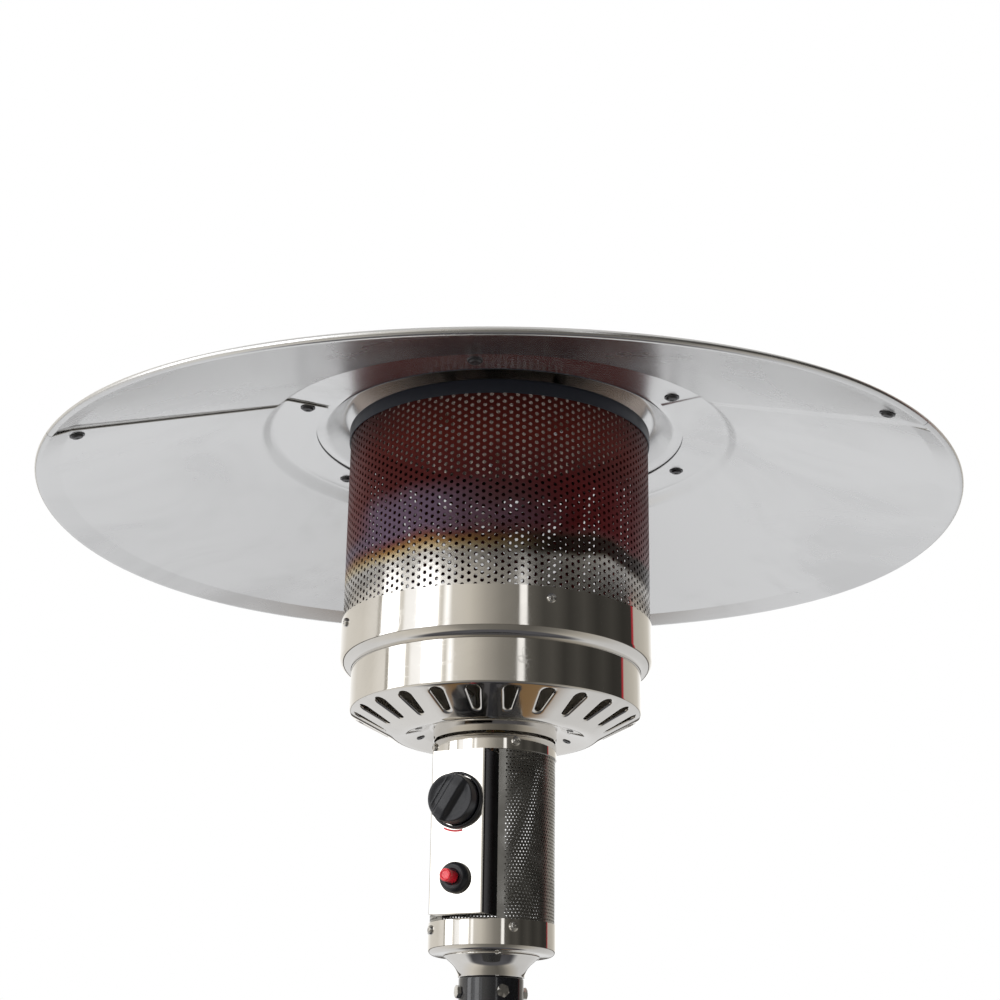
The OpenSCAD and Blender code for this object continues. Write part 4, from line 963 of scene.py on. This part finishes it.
piece("knob_moulding", on_panel(turned(knob_shape(), LEAN - 90), knob_z), "knob", "knob_black",
      black_plastic, "knob", crease=38)
ring_loop = rounded([(22.1, 0, 0), (23.2, 0, 0.2), (23.2, 4.0, 1.4), (21.0, 4.0, 0.6), (21.0, 0, 0.2),
                     (22.1, 0, 0)], 6)
piece("knob_escutcheon_ring", on_panel(lathe(ring_loop[:-1], 96), knob_z), "frame", "knob_black",
      black_plastic, "knob_escutcheon")

# %% Igniter
igniter_z = middle_z("igniter_button")
button_low, button_high = low_high("igniter_button")
button_r = button_high[0]
bore = button_r + 0.06
bezel_loop = rounded([(bore, -28, 0), (9.0, -28, 0.6), (9.0, 0, 0), (12.6, 0, 0.3), (12.6, 3.4, 1.6),
                      (11.9, 5.6, 3.0), (10.2, 8.0, 2.0), (bore + 1.6, 8.0, 0.6), (bore + 0.7, 7.0, 0.4),
                      (bore, 6.8, 0.2), (bore, -28, 0)], 5)
piece("igniter_bezel_moulding", on_panel(lathe(bezel_loop[:-1], 72), igniter_z), "frame", "knob_black",
      black_plastic, "igniter_bezel")
button_tip, button_end = front - button_low[1], front - button_high[1]
button_line = rounded([(0, button_end, 0), (button_r, button_end, 0.4), (button_r, button_tip, 1.5),
                       (button_r - 1.5, button_tip - 0.05, 1.2), (button_r - 2.2, button_tip - 0.5, 0.8),
                       (0, button_tip - 0.6, 0)], 6)
piece("igniter_button_moulding", on_panel(lathe(button_line, 48, closed=False), igniter_z), "igniter_button",
      "button_red", red_plastic, "igniter_button")

# %% Printed arc under the knob
PRINT_T = 0.06
arc_loop = np.array([(24.0, 0.0), (25.6, 0.0), (25.6, PRINT_T), (24.0, PRINT_T)])
mark = lathe(arc_loop, 48, -118, 40)
piece("flame_arc_print", on_panel(mark, knob_z), "frame", "button_red", red_print)

# %% [markdown]
# ## Fasteners
# Screw heads are small, but polished ones read as bright points, and the eye looks for them. A
# pan head is a height over a disc: a low dome, less a cross-shaped recess. A bolt head is a
# hexagon whose top corners are turned off at thirty degrees, so its height falls with the
# distance beyond the inscribed circle.

# %% Screw and bolt heads


def pan_head(radius, height, shank_r=0.0, shank=0.0, cross=0.0):
    """A domed head with a rounded side, a cross recess, and its shank below."""
    turn = np.radians(np.arange(48) * 7.5)
    share = np.concatenate([[0.0], np.linspace(0.06, 0.86, 13)])
    x, y = radius * np.outer(share, np.cos(turn)), radius * np.outer(share, np.sin(turn))
    dome = height * (1 - 0.30 * share ** 2.4)[:, None] * np.ones_like(x)
    if cross:
        arm = np.minimum(np.abs(x), np.abs(y))
        reach = np.hypot(x, y)
        dome -= 0.34 * height * (1 - smooth_step(arm, 0.07 * radius, 0.15 * radius)) \
            * (1 - smooth_step(reach, 0.34 * radius, 0.48 * radius))
    rings = [np.stack([x, y, dome], -1)]
    steps = [(0.94, 0.58), (0.985, 0.42), (1.0, 0.2), (1.0, 0.0)]
    profile = [(radius * r, height * z) for r, z in steps]
    profile += [(shank_r, 0.0), (shank_r, -shank)] if shank else []
    profile += [(0.0, -shank)]
    for r, z in profile:
        rings.append(np.stack([r * np.cos(turn), r * np.sin(turn), np.full_like(turn, z)], -1)[None])
    points = np.concatenate(rings)
    return outward((points.reshape(-1, 3), [grid_faces(len(points), len(turn), False, True)]))


def hex_head(across, height, shank_r=0.0, shank=0.0, dome=0.0):
    """A hexagon with turned-off corners: top edge drops by (r - across / 2) tan 30 degrees."""
    turn = np.radians(np.arange(72) * 5.0)
    fold = (np.degrees(turn) + 30) % 60 - 30
    hexagon = across / 2 / np.cos(np.radians(fold))
    fall = (hexagon - across / 2) * math.tan(math.radians(30))
    flat = np.zeros_like(turn)
    rings = [(0.0 * turn, height + dome + flat)]
    if dome:
        rings += [(across * 0.44 * math.sin(a) + flat, height + dome * math.cos(a) + flat)
                  for a in np.radians([25, 50, 70, 90])]
    rings += [(across * 0.46 + flat, height + flat), (hexagon, height - fall), (hexagon, 0.25 + flat),
              (hexagon - 0.25, flat)]
    rings += [(shank_r + flat, flat), (shank_r + flat, flat - shank)] if shank else []
    rings += [(0.0 * turn, flat - shank)]
    points = np.stack([np.stack([r * np.cos(turn), r * np.sin(turn), z], -1) for r, z in rings])
    return outward((points.reshape(-1, 3), [grid_faces(len(points), len(turn), False, True)]))


def radial(shape, radius, z, azimuths, spin=0.0):
    """Copies of a fastener that point straight out of a wall at each azimuth."""
    single = aimed(shape, (radius, 0, z), (1, 0, 0), spin)
    return round_copies(single, azimuths)


HEAD = [-47 + 90 * k for k in range(4)]          # azimuths of the head's screws and bolts
sheet_screw = pan_head(4.0, 2.4, 2.0, 6, 1)
emitter_screws = radial(sheet_screw, upper_r, middle_z("emitter_screws"), HEAD, 20)
piece("emitter_screw_heads", emitter_screws, "frame", "plated_screws", plated_screw, "emitter_screws")
screw_levels = (low_high("housing_screws")[0][2] + 4, low_high("housing_screws")[1][2] - 4)
housing = [radial(pan_head(4.0, 2.6, 2.0, 5, 1), collar_r, z, HEAD, 35) for z in screw_levels]
piece("housing_screw_heads", join(*housing), "frame", "plated_screws", plated_screw, "housing_screws")
head_bolts = radial(hex_head(9.6, 3.6, 3.0, 5), post_r, middle_z("head_bolts"), HEAD, 12)
piece("head_bolt_heads", head_bolts, "frame", "plated_screws", plated_screw, "head_bolts")

# %% Reflector fasteners
INNER_R, OUTER_R = 182.8, 379.0
sixths = [SEAM + 60 * k for k in range(6)]
thirds = [SEAM + THIRD * k for k in range(3)]
cone_slope = (step_z - band_z) / (BAND_R - STEP_R)
outer_z = band_z + cone_slope * (BAND_R - OUTER_R) + float(settle(OUTER_R, SEAM)) - 0.06
tilt = Vector((cone_slope, 0, 1)).normalized()
washer = rounded([(2.5, 0, 0), (6.4, 0, 0.25), (6.4, 0.8, 0.25), (2.5, 0.8, 0)], 4)
button_head = join(lathe(washer, 40), aimed(pan_head(4.8, 2.0, cross=1), (0, 0, 0.8), (0, 0, 1)),
                   aimed(lathe(np.array([(0, 0), (2.5, 0), (2.5, 9.2), (0, 9.2)]), 32, closed=False),
                         (0, 0, 0), (0, 0, -1)))


def under(shape, r, z, normal, azimuths):
    """Copies that hang under the sheet at radius r, pointing against its normal."""
    return round_copies(aimed(shape, (r, 0, z), [-n for n in normal]), azimuths)


screws = join(under(button_head, INNER_R, flange_z, (0, 0, 1), sixths),
              under(button_head, OUTER_R, outer_z, tilt, thirds))
piece("reflector_screw_heads", screws, "frame", "dark_screws", dark_screw, "reflector_screws")
acorn = hex_head(8.0, 4.2, dome=4.1)
inner_foot = (INNER_R, 0, flange_z + 3 * REFLECTOR_T)
outer_foot = np.array((OUTER_R, 0, outer_z)) + np.array(tilt) * (2 * REFLECTOR_T + LAP_GAP + 0.1)
nuts = join(round_copies(aimed(acorn, inner_foot, (0, 0, 1)), sixths),
            round_copies(aimed(acorn, outer_foot, tilt), thirds))
piece("reflector_domed_nuts", nuts, "frame", "plated_screws", plated_screw, "reflector_nuts")

# %% Screws under the dish
DISH_SCREW_R, DISH_SCREW_AZIMUTHS = 66.0, (42, 192)
DISH_SLOPE = -0.393                     # the cup's rise per unit of radius where the screws sit
dish_screw = aimed(pan_head(3.7, 1.6, 2.0, 9, 1), (DISH_SCREW_R, 0, neck_z + 7.0), (DISH_SLOPE, 0, -1))
dish_screws = round_copies(dish_screw, DISH_SCREW_AZIMUTHS)
piece("dish_screw_heads", dish_screws, "frame", "dark_screws", dark_screw, "dish_screws")

# %% [markdown]
# ## Post, housing and base
# The post is a painted tube; only its rounded upper edge needs care. The bottle housing is sheet
# rolled into a drum. Its vents are rows of rectangles left out of a grid, and *thicken* closes
# their edges, exactly as it did for the round holes. A narrow seam down the back shows where the
# sheet's ends meet.

# %% Post
post_loop = rounded([(post_r - 1.3, post_low[2], 0), (post_r, post_low[2], 0.3), (post_r, post_high[2], 1.25),
                     (post_r - 1.3, post_high[2], 0)], 6)
piece("post_tube", lathe(post_loop, 96), "frame", "post_black", gloss_black, "post")

# %% Bottle housing
drum_low, drum_high = low_high("bottle_housing")
drum_r, WALL, HEM = drum_high[0], 0.8, 2.2
VENTS, VENT_W, VENT_H = 8, 44.0, 6.0
vent_levels = (drum_low[2] + 45, drum_high[2] - 55)


def vented_drum():
    """A grid round the drum with the vents' cells left out; levels include each vent's edges."""
    half_vent = math.degrees(VENT_W / 2 / drum_r)
    edges = np.linspace(-half_vent, half_vent, 9)
    gap = np.linspace(half_vent, 45 - half_vent, 17)[1:-1]
    azimuth = np.concatenate([22.5 + 45 * k + np.concatenate([edges, gap]) for k in range(VENTS)])
    in_vent = np.tile(np.concatenate([np.ones(8, bool), np.zeros(16, bool)]), VENTS)
    hem_top = drum_low[2] + 9
    levels = np.concatenate([[drum_low[2] + 0.5, hem_top]] + [[z, z + VENT_H] for z in vent_levels]
                            + [[drum_high[2]]])
    levels = np.unique(np.concatenate([levels, np.linspace(hem_top + 60, vent_levels[1] - 20, 12)]))
    angle = np.radians(azimuth)
    faces = grid_faces(len(levels), len(azimuth), False, True).reshape(len(levels) - 1, len(azimuth), 4)
    vent_rows = np.isin(levels[:-1].round(3), np.round(vent_levels, 3))
    keep = ~(vent_rows[:, None] & in_vent[None, :])
    z, a = np.meshgrid(levels, angle, indexing="ij")
    outer = on_cylinder(a.ravel(), z.ravel(), drum_r)
    inner = on_cylinder(a.ravel(), z.ravel(), drum_r - WALL)
    return thicken(outer, inner, [faces[keep]])


hem_low, hem_high, hem_r = drum_low[2], drum_low[2] + 9, drum_r - HEM
hem_loop = rounded([(hem_r, hem_low + 4, 0), (hem_r, hem_low, 1.0), (drum_r, hem_low, 1.0),
                    (drum_r, hem_high, 0.2), (hem_r, hem_high, 0.8), (hem_r, hem_low + 4, 0)], 5)
seam_strip = turned(prism(np.array([(drum_r - 2.4, -9.0), (drum_r - WALL, -9.0), (drum_r - WALL, 9.0),
                                    (drum_r - 2.4, 9.0)]), drum_low[2] + 12, drum_high[2] - 14), 90)
piece("bottle_housing_drum", join(vented_drum(), lathe(hem_loop[:-1], 192), seam_strip), "bottle_housing",
      "housing_black", powder_black, "bottle_housing", crease=45)

# %% Bottle housing lid
lid_low, lid_high = low_high("bottle_housing_lid")
hole_r = post_r + 2.5
shoulder, lid_z = drum_high[2], lid_high[2]
lid_top = rounded([(hole_r + 1, lid_z - 14, 0), (hole_r + 1, lid_z, 0), (hole_r + 2, lid_z, 0.4),
                   (hole_r + 2, lid_z - 12.0, 4.0), (hole_r + 14, lid_z - 14, 6.0),
                   (drum_r - 9, shoulder + 4, 8.0), (drum_r, shoulder + 1.6, 1.4), (drum_r, shoulder, 0.3),
                   (drum_r - 0.9, shoulder, 0.2), (drum_r - 0.9, lid_low[2], 0),
                   (drum_r - 1.9, lid_low[2], 0),
                   (drum_r - 1.9, shoulder + 1.4, 1.2), (drum_r - 9.6, shoulder + 3.0, 8.0),
                   (hole_r + 13.6, lid_z - 15.1, 5.0), (hole_r, lid_z - 13.4, 2.0),
                   (hole_r, lid_z, 0.3), (hole_r + 1, lid_z, 0)], 6)[1:-1]
piece("bottle_housing_lid_pressing", lathe(lid_top, 192), "bottle_housing", "housing_black", powder_black,
      "bottle_housing_lid")
lid_screws = radial(sheet_screw, drum_r, middle_z("lid_screws"), [30 + 60 * k for k in range(6)], 10)
piece("lid_screw_heads", lid_screws, "bottle_housing", "plated_screws", plated_screw, "lid_screws")

# %% Wing nuts
wing_foot = disc_high[2]
nut_line = rounded([(0, 0.02, 0), (9, 0.02, 0.3), (9, 1.4, 0.4), (7, 1.6, 0.6), (5.6, 10, 1.0),
                    (3.9, 10, 0.2), (3.9, 0.6, 0), (0, 0.6, 0)], 5)


def wing(side):
    """A flattened ball on a stalk: x and z by an ellipse, thickness by the square root of its rest."""
    u, v = np.meshgrid(np.linspace(0, math.pi, 17), np.radians(np.arange(0, 360, 15)), indexing="ij")
    x = 6.6 * np.sin(u) * np.cos(v)
    y = 1.4 * np.sign(np.cos(u)) * np.abs(np.cos(u)) ** 0.6
    z = 6.4 * np.sin(u) * np.sin(v)
    points = np.stack([side * 9.6 + x, y, 8.55 + z], -1).reshape(-1, 3)
    return outward((points, [grid_faces(17, 24, False, True)]))


wing_nut = join(lathe(nut_line, 48, closed=False), wing(1), wing(-1))
wing_nuts = round_copies(aimed(wing_nut, (60, 0, wing_foot), (0, 0, 1)), (0, 120, 240))
piece("wing_nut_castings", wing_nuts, "frame", "plated_screws", plated_screw, "wing_nuts")

# %% Wheels
wheel_low, wheel_high = low_high("wheel_right")
wheel_r = (wheel_high[2] - wheel_low[2]) / 2
wheel_axis = (wheel_low + wheel_high) / 2
WHEEL_W, HUB_R, BORE_R = wheel_high[0] - wheel_low[0], 13.0, 5.06
tread = rounded([(wheel_r - 13, WHEEL_W / 2 - 1, 0), (wheel_r - 14, 0.0, 1.5), (wheel_r - 3, 0, 1.5),
                 (wheel_r, 4.0, 4.0), (wheel_r, WHEEL_W - 4.0, 4.0), (wheel_r - 3, WHEEL_W, 1.5),
                 (wheel_r - 14, WHEEL_W, 1.5), (wheel_r - 13, WHEEL_W / 2 + 1, 0)], 5)
hub_loop = rounded([(BORE_R, 0, 0), (HUB_R, 0, 1.2), (HUB_R, WHEEL_W, 1.2), (BORE_R, WHEEL_W, 0.4),
                    (BORE_R, 0, 0)], 4)
spoke_end = wheel_r - 12
spoke_outline = rounded([(9, 0, 0), (9, -5.0, 0), (30, -3.2, 30), (spoke_end, -5.6, 0), (spoke_end, 5.6, 0),
                         (30, 3.2, 30), (9, 5.0, 0), (9, 0, 0)], 6)[:-1]
spokes = round_copies(prism(spoke_outline, 5.5, WHEEL_W - 5.5), [72 * k for k in range(5)])
wheel = join(lathe(tread, 96), lathe(hub_loop[:-1], 48), spokes)
for name, side in (("wheel_left", -1), ("wheel_right", 1)):
    inner_x = abs(low_high(name)[0 if side > 0 else 1][0])
    placed = aimed(wheel, (side * inner_x, wheel_axis[1], wheel_axis[2]), (side, 0, 0))
    piece(name + "_moulding", placed, name, "wheel_plastic", wheel_plastic, name)

# %% Base pan
base_low, base_high = low_high("base_pan")
base_r = base_high[0]
edge_z, top_z = base_low[2], base_high[2]
base_section = rounded([(0, top_z - 1.5, 0), (199.6, top_z - 1.5, 5.0), (207.2, edge_z + 3.5, 5.0),
                        (base_r - 3.2, edge_z + 3.5, 0.8), (base_r - 3.6, edge_z, 2.2), (base_r, edge_z, 2.4),
                        (base_r, edge_z + 5.0, 2.4), (208.2, edge_z + 5.0, 6.0), (200.6, top_z, 6.0),
                        (0, top_z, 0)], 8)
piece("base_pan_pressing", lathe(base_section, 192, closed=False), "frame", "housing_black", powder_black,
      "base_pan")

# %% [markdown]
# ## Pieces that keep their CAD shape
# What is bolted together inside, such as the valve, the gas tubes and the legs, is already right.
# Those nodes keep their meshes and only take the finish of their slot.

# %% Finish the CAD nodes
finish_of_slot = {
    "reflector_sheet": reflector_sheet, "emitter_steel": emitter_steel, "head_steel": polished_steel,
    "guard_steel": guard_steel, "inner_steel": inner_steel, "cap_black": cap_black,
    "plated_screws": plated_screw, "dark_screws": dark_screw, "brass_fittings": brass,
    "tube_aluminium": tube_aluminium, "copper_lead": copper, "ceramic": ceramic, "cast_valve": cast_metal,
    "valve_stem_steel": plated_screw, "knob_black": black_plastic, "nut_plastic": pale_plastic,
    "button_red": red_plastic, "post_black": gloss_black, "housing_black": powder_black,
    "foot_rubber": rubber, "wheel_plastic": wheel_plastic}
slot_of_node = {part["node"]: part["material_slot"] for part in frame["record"]["subparts"]}
kept = [name for name, made in frame["nodes"].items() if not made.hide_render]
for name in kept:
    data = frame["nodes"][name].data
    data.materials.clear()
    data.materials.append(finish_of_slot[slot_of_node[name]])
print(len(kept), "CAD nodes keep their shape:", ", ".join(sorted(kept)))

# %% [markdown]
# ## Floor, light and camera
# Polished steel is only as good as what it reflects. The studio is therefore painted by direction:
# tall white windows at the left with narrow beige posts between them, a warm falloff towards the
# middle, and a dark side at the right. The camera itself sees plain white. Mirror-like pieces
# would show a plain floor as a hard edge, so the floor is hidden from reflections, and the lower
# half of the studio stands in for it.

# %% Studio
CAMERA_AZIMUTH = -66.0                  # where the camera stands, seen from above
REFLECTANCE = 0.74                      # what polished steel gives back
# Degrees to the left (-) or right (+) of the camera's own side, and the tone the steel shows
# there. A ramp holds 32 stops, so the dark side has one of its own. Minus one is the red line.
AROUND = [(-180, 0.93), (-158, 0.86), (-142, 0.77), (-114, 0.76), (-104, 0.80), (-96.5, 0.81), (-95.5, 0.60),
          (-92.5, 0.60), (-91.5, 1.30), (-76, 1.30), (-75, 0.78), (-71, 0.78), (-70, 0.93), (-60, 0.95),
          (-58.5, 1.30), (-43, 1.30), (-42, 0.76), (-38.5, 0.76), (-37.5, 1.02), (-34.5, 1.02), (-33, 0.76),
          (-20, 0.71), (-8, 0.58), (4, 0.47), (16, 0.42), (17, 0.92), (21.5, 0.92), (22.5, 0.34)]
BEHIND = [(22.5, 0.34), (34, 0.25), (44, 0.28), (54, 0.21), (66, 0.26), (78, 0.20), (92, 0.24), (104, 0.19),
          (115.5, 0.20), (116.5, -1), (118.5, -1), (119.5, 0.62), (136, 0.66), (148, 0.72), (158, 0.86),
          (168, 0.95), (180, 0.93)]
RED_LINE = (0.42, 0.035, 0.045)
WARMTH = (1.0, 0.945, 0.845)            # tint of the falloff and the dark side


def tone(level):
    """Linear colour of a tone seen on steel: level to the 2.2 over the reflectance, warmed if dim."""
    if level < 0:
        return RED_LINE
    strength = level ** 2.2 / REFLECTANCE
    warm = min(max((0.95 - level) / 0.25, 0), 1)
    return tuple(strength * (1 - warm * (1 - w)) for w in WARMTH)


def cool_tone(level, place):
    """The floor's tone: warm towards the camera, a cool grey on the far side."""
    if abs(place) < FAR_SIDE:
        return tone(level)
    strength = level ** 2.2 / REFLECTANCE
    return 0.985 * strength, 0.99 * strength, strength


def deep_colour(level):
    """Straight down it is dark, with warm brown where the level is high."""
    strength = level ** 2.2 / REFLECTANCE
    tint = (1.0, 0.62, 0.30) if level > BROWN_FROM else (1.0, 1.0, 1.1)
    return tuple(strength * t for t in tint)


NEAR_FLOOR = [(-180, 0.78), (-120, 0.77), (-70, 0.74), (-40, 0.62), (-26, 0.48), (-14, 0.42), (0, 0.38),
              (24, 0.34), (44, 0.42), (70, 0.60), (110, 0.71), (150, 0.73), (180, 0.78)]
FAR_SIDE = 105                          # beyond this many degrees the floor is cool, not warm
BROWN_FROM = 0.35                       # levels above this are brown in what lies straight down
DARK_FROM = 22.5                        # degrees where the dark side begins: the second ramp's start
DEEP = [(-180, 0.16), (-165, 0.18), (-160, 0.42), (-150, 0.40), (-144, 0.17), (-110, 0.30), (0, 0.30),
        (110, 0.30), (136, 0.20), (143, 0.20), (148, 0.46), (163, 0.44), (169, 0.18), (180, 0.16)]


def blended(tree, share, first, second):
    """A colour that goes from the first to the second as share goes from 0 to 1."""
    return node(tree, "Mix", {0: share, 6: first, 7: second}, data_type="RGBA").outputs[2]


def round_ramp(tree, share, stops, colour_of):
    """A ramp all the way round, from stops of degrees and level and what makes a level a colour."""
    return ramp(tree, share, [(place, colour_of(level, place)) for place, level in stops], -180, 180)


def build_studio():
    """World colour: white to the camera, and to every other ray a tone by its azimuth and height."""
    world = bpy.data.worlds.new("studio")
    bpy.context.scene.world = world
    world.use_nodes = True
    tree = world.node_tree
    background = tree.nodes["Background"]
    x, y, z = node(tree, "SeparateXYZ", {0: node(tree, "TexCoord").outputs["Generated"]}).outputs
    azimuth = math_node(tree, "ARCTAN2", y, x)
    turned_by = math_node(tree, "SUBTRACT", azimuth, math.radians(CAMERA_AZIMUTH) - math.pi)
    share = math_node(tree, "FRACT", math_node(tree, "DIVIDE", turned_by, 2 * math.pi))
    front_side = round_ramp(tree, share, AROUND, lambda level, _: tone(level))
    dark_side = round_ramp(tree, share, BEHIND, lambda level, _: tone(level))
    past = math_node(tree, "GREATER_THAN", share, (DARK_FROM + 180) / 360)
    walls = blended(tree, past, front_side, dark_side)
    floor_tone = round_ramp(tree, share, NEAR_FLOOR, cool_tone)
    deep_tone = round_ramp(tree, share, DEEP, lambda level, _: deep_colour(level))
    near = blended(tree, band(tree, z, -0.075, -0.10), (0.09, 0.08, 0.07, 1), floor_tone)
    below = blended(tree, band(tree, z, -0.80, -0.90), near, deep_tone)
    sides = blended(tree, band(tree, z, -0.01, -0.03), walls, below)
    reflected = blended(tree, band(tree, z, 0.62, 0.85), sides, (0.62, 0.61, 0.59, 1))
    seen = node(tree, "LightPath").outputs["Is Camera Ray"]
    tree.links.new(blended(tree, seen, reflected, (1, 1, 1, 1)), background.inputs["Color"])


build_studio()
scene = bpy.context.scene
scene.view_settings.view_transform = "Standard"
print("studio stops", len(AROUND), len(BEHIND), len(NEAR_FLOOR), len(DEEP))

# %% Floor and lamps
FLOOR_HALF = 9.0                        # metres
floor_mesh = bpy.data.meshes.new("floor")
edge = FLOOR_HALF
floor_corners = [(-edge, -edge, 0), (edge, -edge, 0), (edge, edge, 0), (-edge, edge, 0)]
floor_mesh.from_pydata(floor_corners, [], [(0, 1, 2, 3)])
floor = bpy.data.objects.new("floor", floor_mesh)
scene.collection.objects.link(floor)
pale_floor = finish("pale_floor", (0.82, 0.82, 0.81), 0.8, 0.0, "orange_peel", 1e-4, 0.05, 1.5)
floor_mesh.materials.append(pale_floor)
floor.visible_glossy = False


def soft_lamp(name, azimuth, distance, height, size, power):
    """A square lamp that looks at the heater's head; reflections don't show it."""
    lamp = bpy.data.lights.new(name, "AREA")
    lamp.size, lamp.energy = size, power
    made = bpy.data.objects.new(name, lamp)
    scene.collection.objects.link(made)
    a = math.radians(azimuth)
    made.location = (distance * math.cos(a), distance * math.sin(a), height)
    aim = Vector((0, 0, 1.9)) - made.location
    made.rotation_euler = aim.to_track_quat("-Z", "Y").to_euler()
    made.visible_glossy = False
    return made


soft_lamp("window_lamp", CAMERA_AZIMUTH - 55, 3.2, 2.6, 1.8, 60)
soft_lamp("fill_lamp", CAMERA_AZIMUTH + 150, 3.5, 3.0, 2.5, 30)

# %% Camera
STAND_OFF, EYE = 1.5825, 1.560          # metres from the post's axis, and above the ground
TILT_UP, ROLL = 19.23, 0.89             # degrees
camera_data = bpy.data.cameras.new("camera")
camera = bpy.data.objects.new("camera", camera_data)
scene.collection.objects.link(camera)
camera_data.lens, camera_data.sensor_width = 67.02, 36.0
camera_data.shift_x = 0.0014
direction = math.radians(CAMERA_AZIMUTH)
camera.location = (STAND_OFF * math.cos(direction), STAND_OFF * math.sin(direction), EYE)
heading = Euler((0, 0, direction + math.pi / 2)).to_matrix()
pitch = Euler((math.radians(90 + TILT_UP), 0, 0)).to_matrix()
roll = Euler((0, 0, math.radians(ROLL))).to_matrix()
camera.rotation_euler = (heading @ pitch @ roll).to_euler()
scene.camera = camera
print("camera at", tuple(round(c, 3) for c in camera.location))
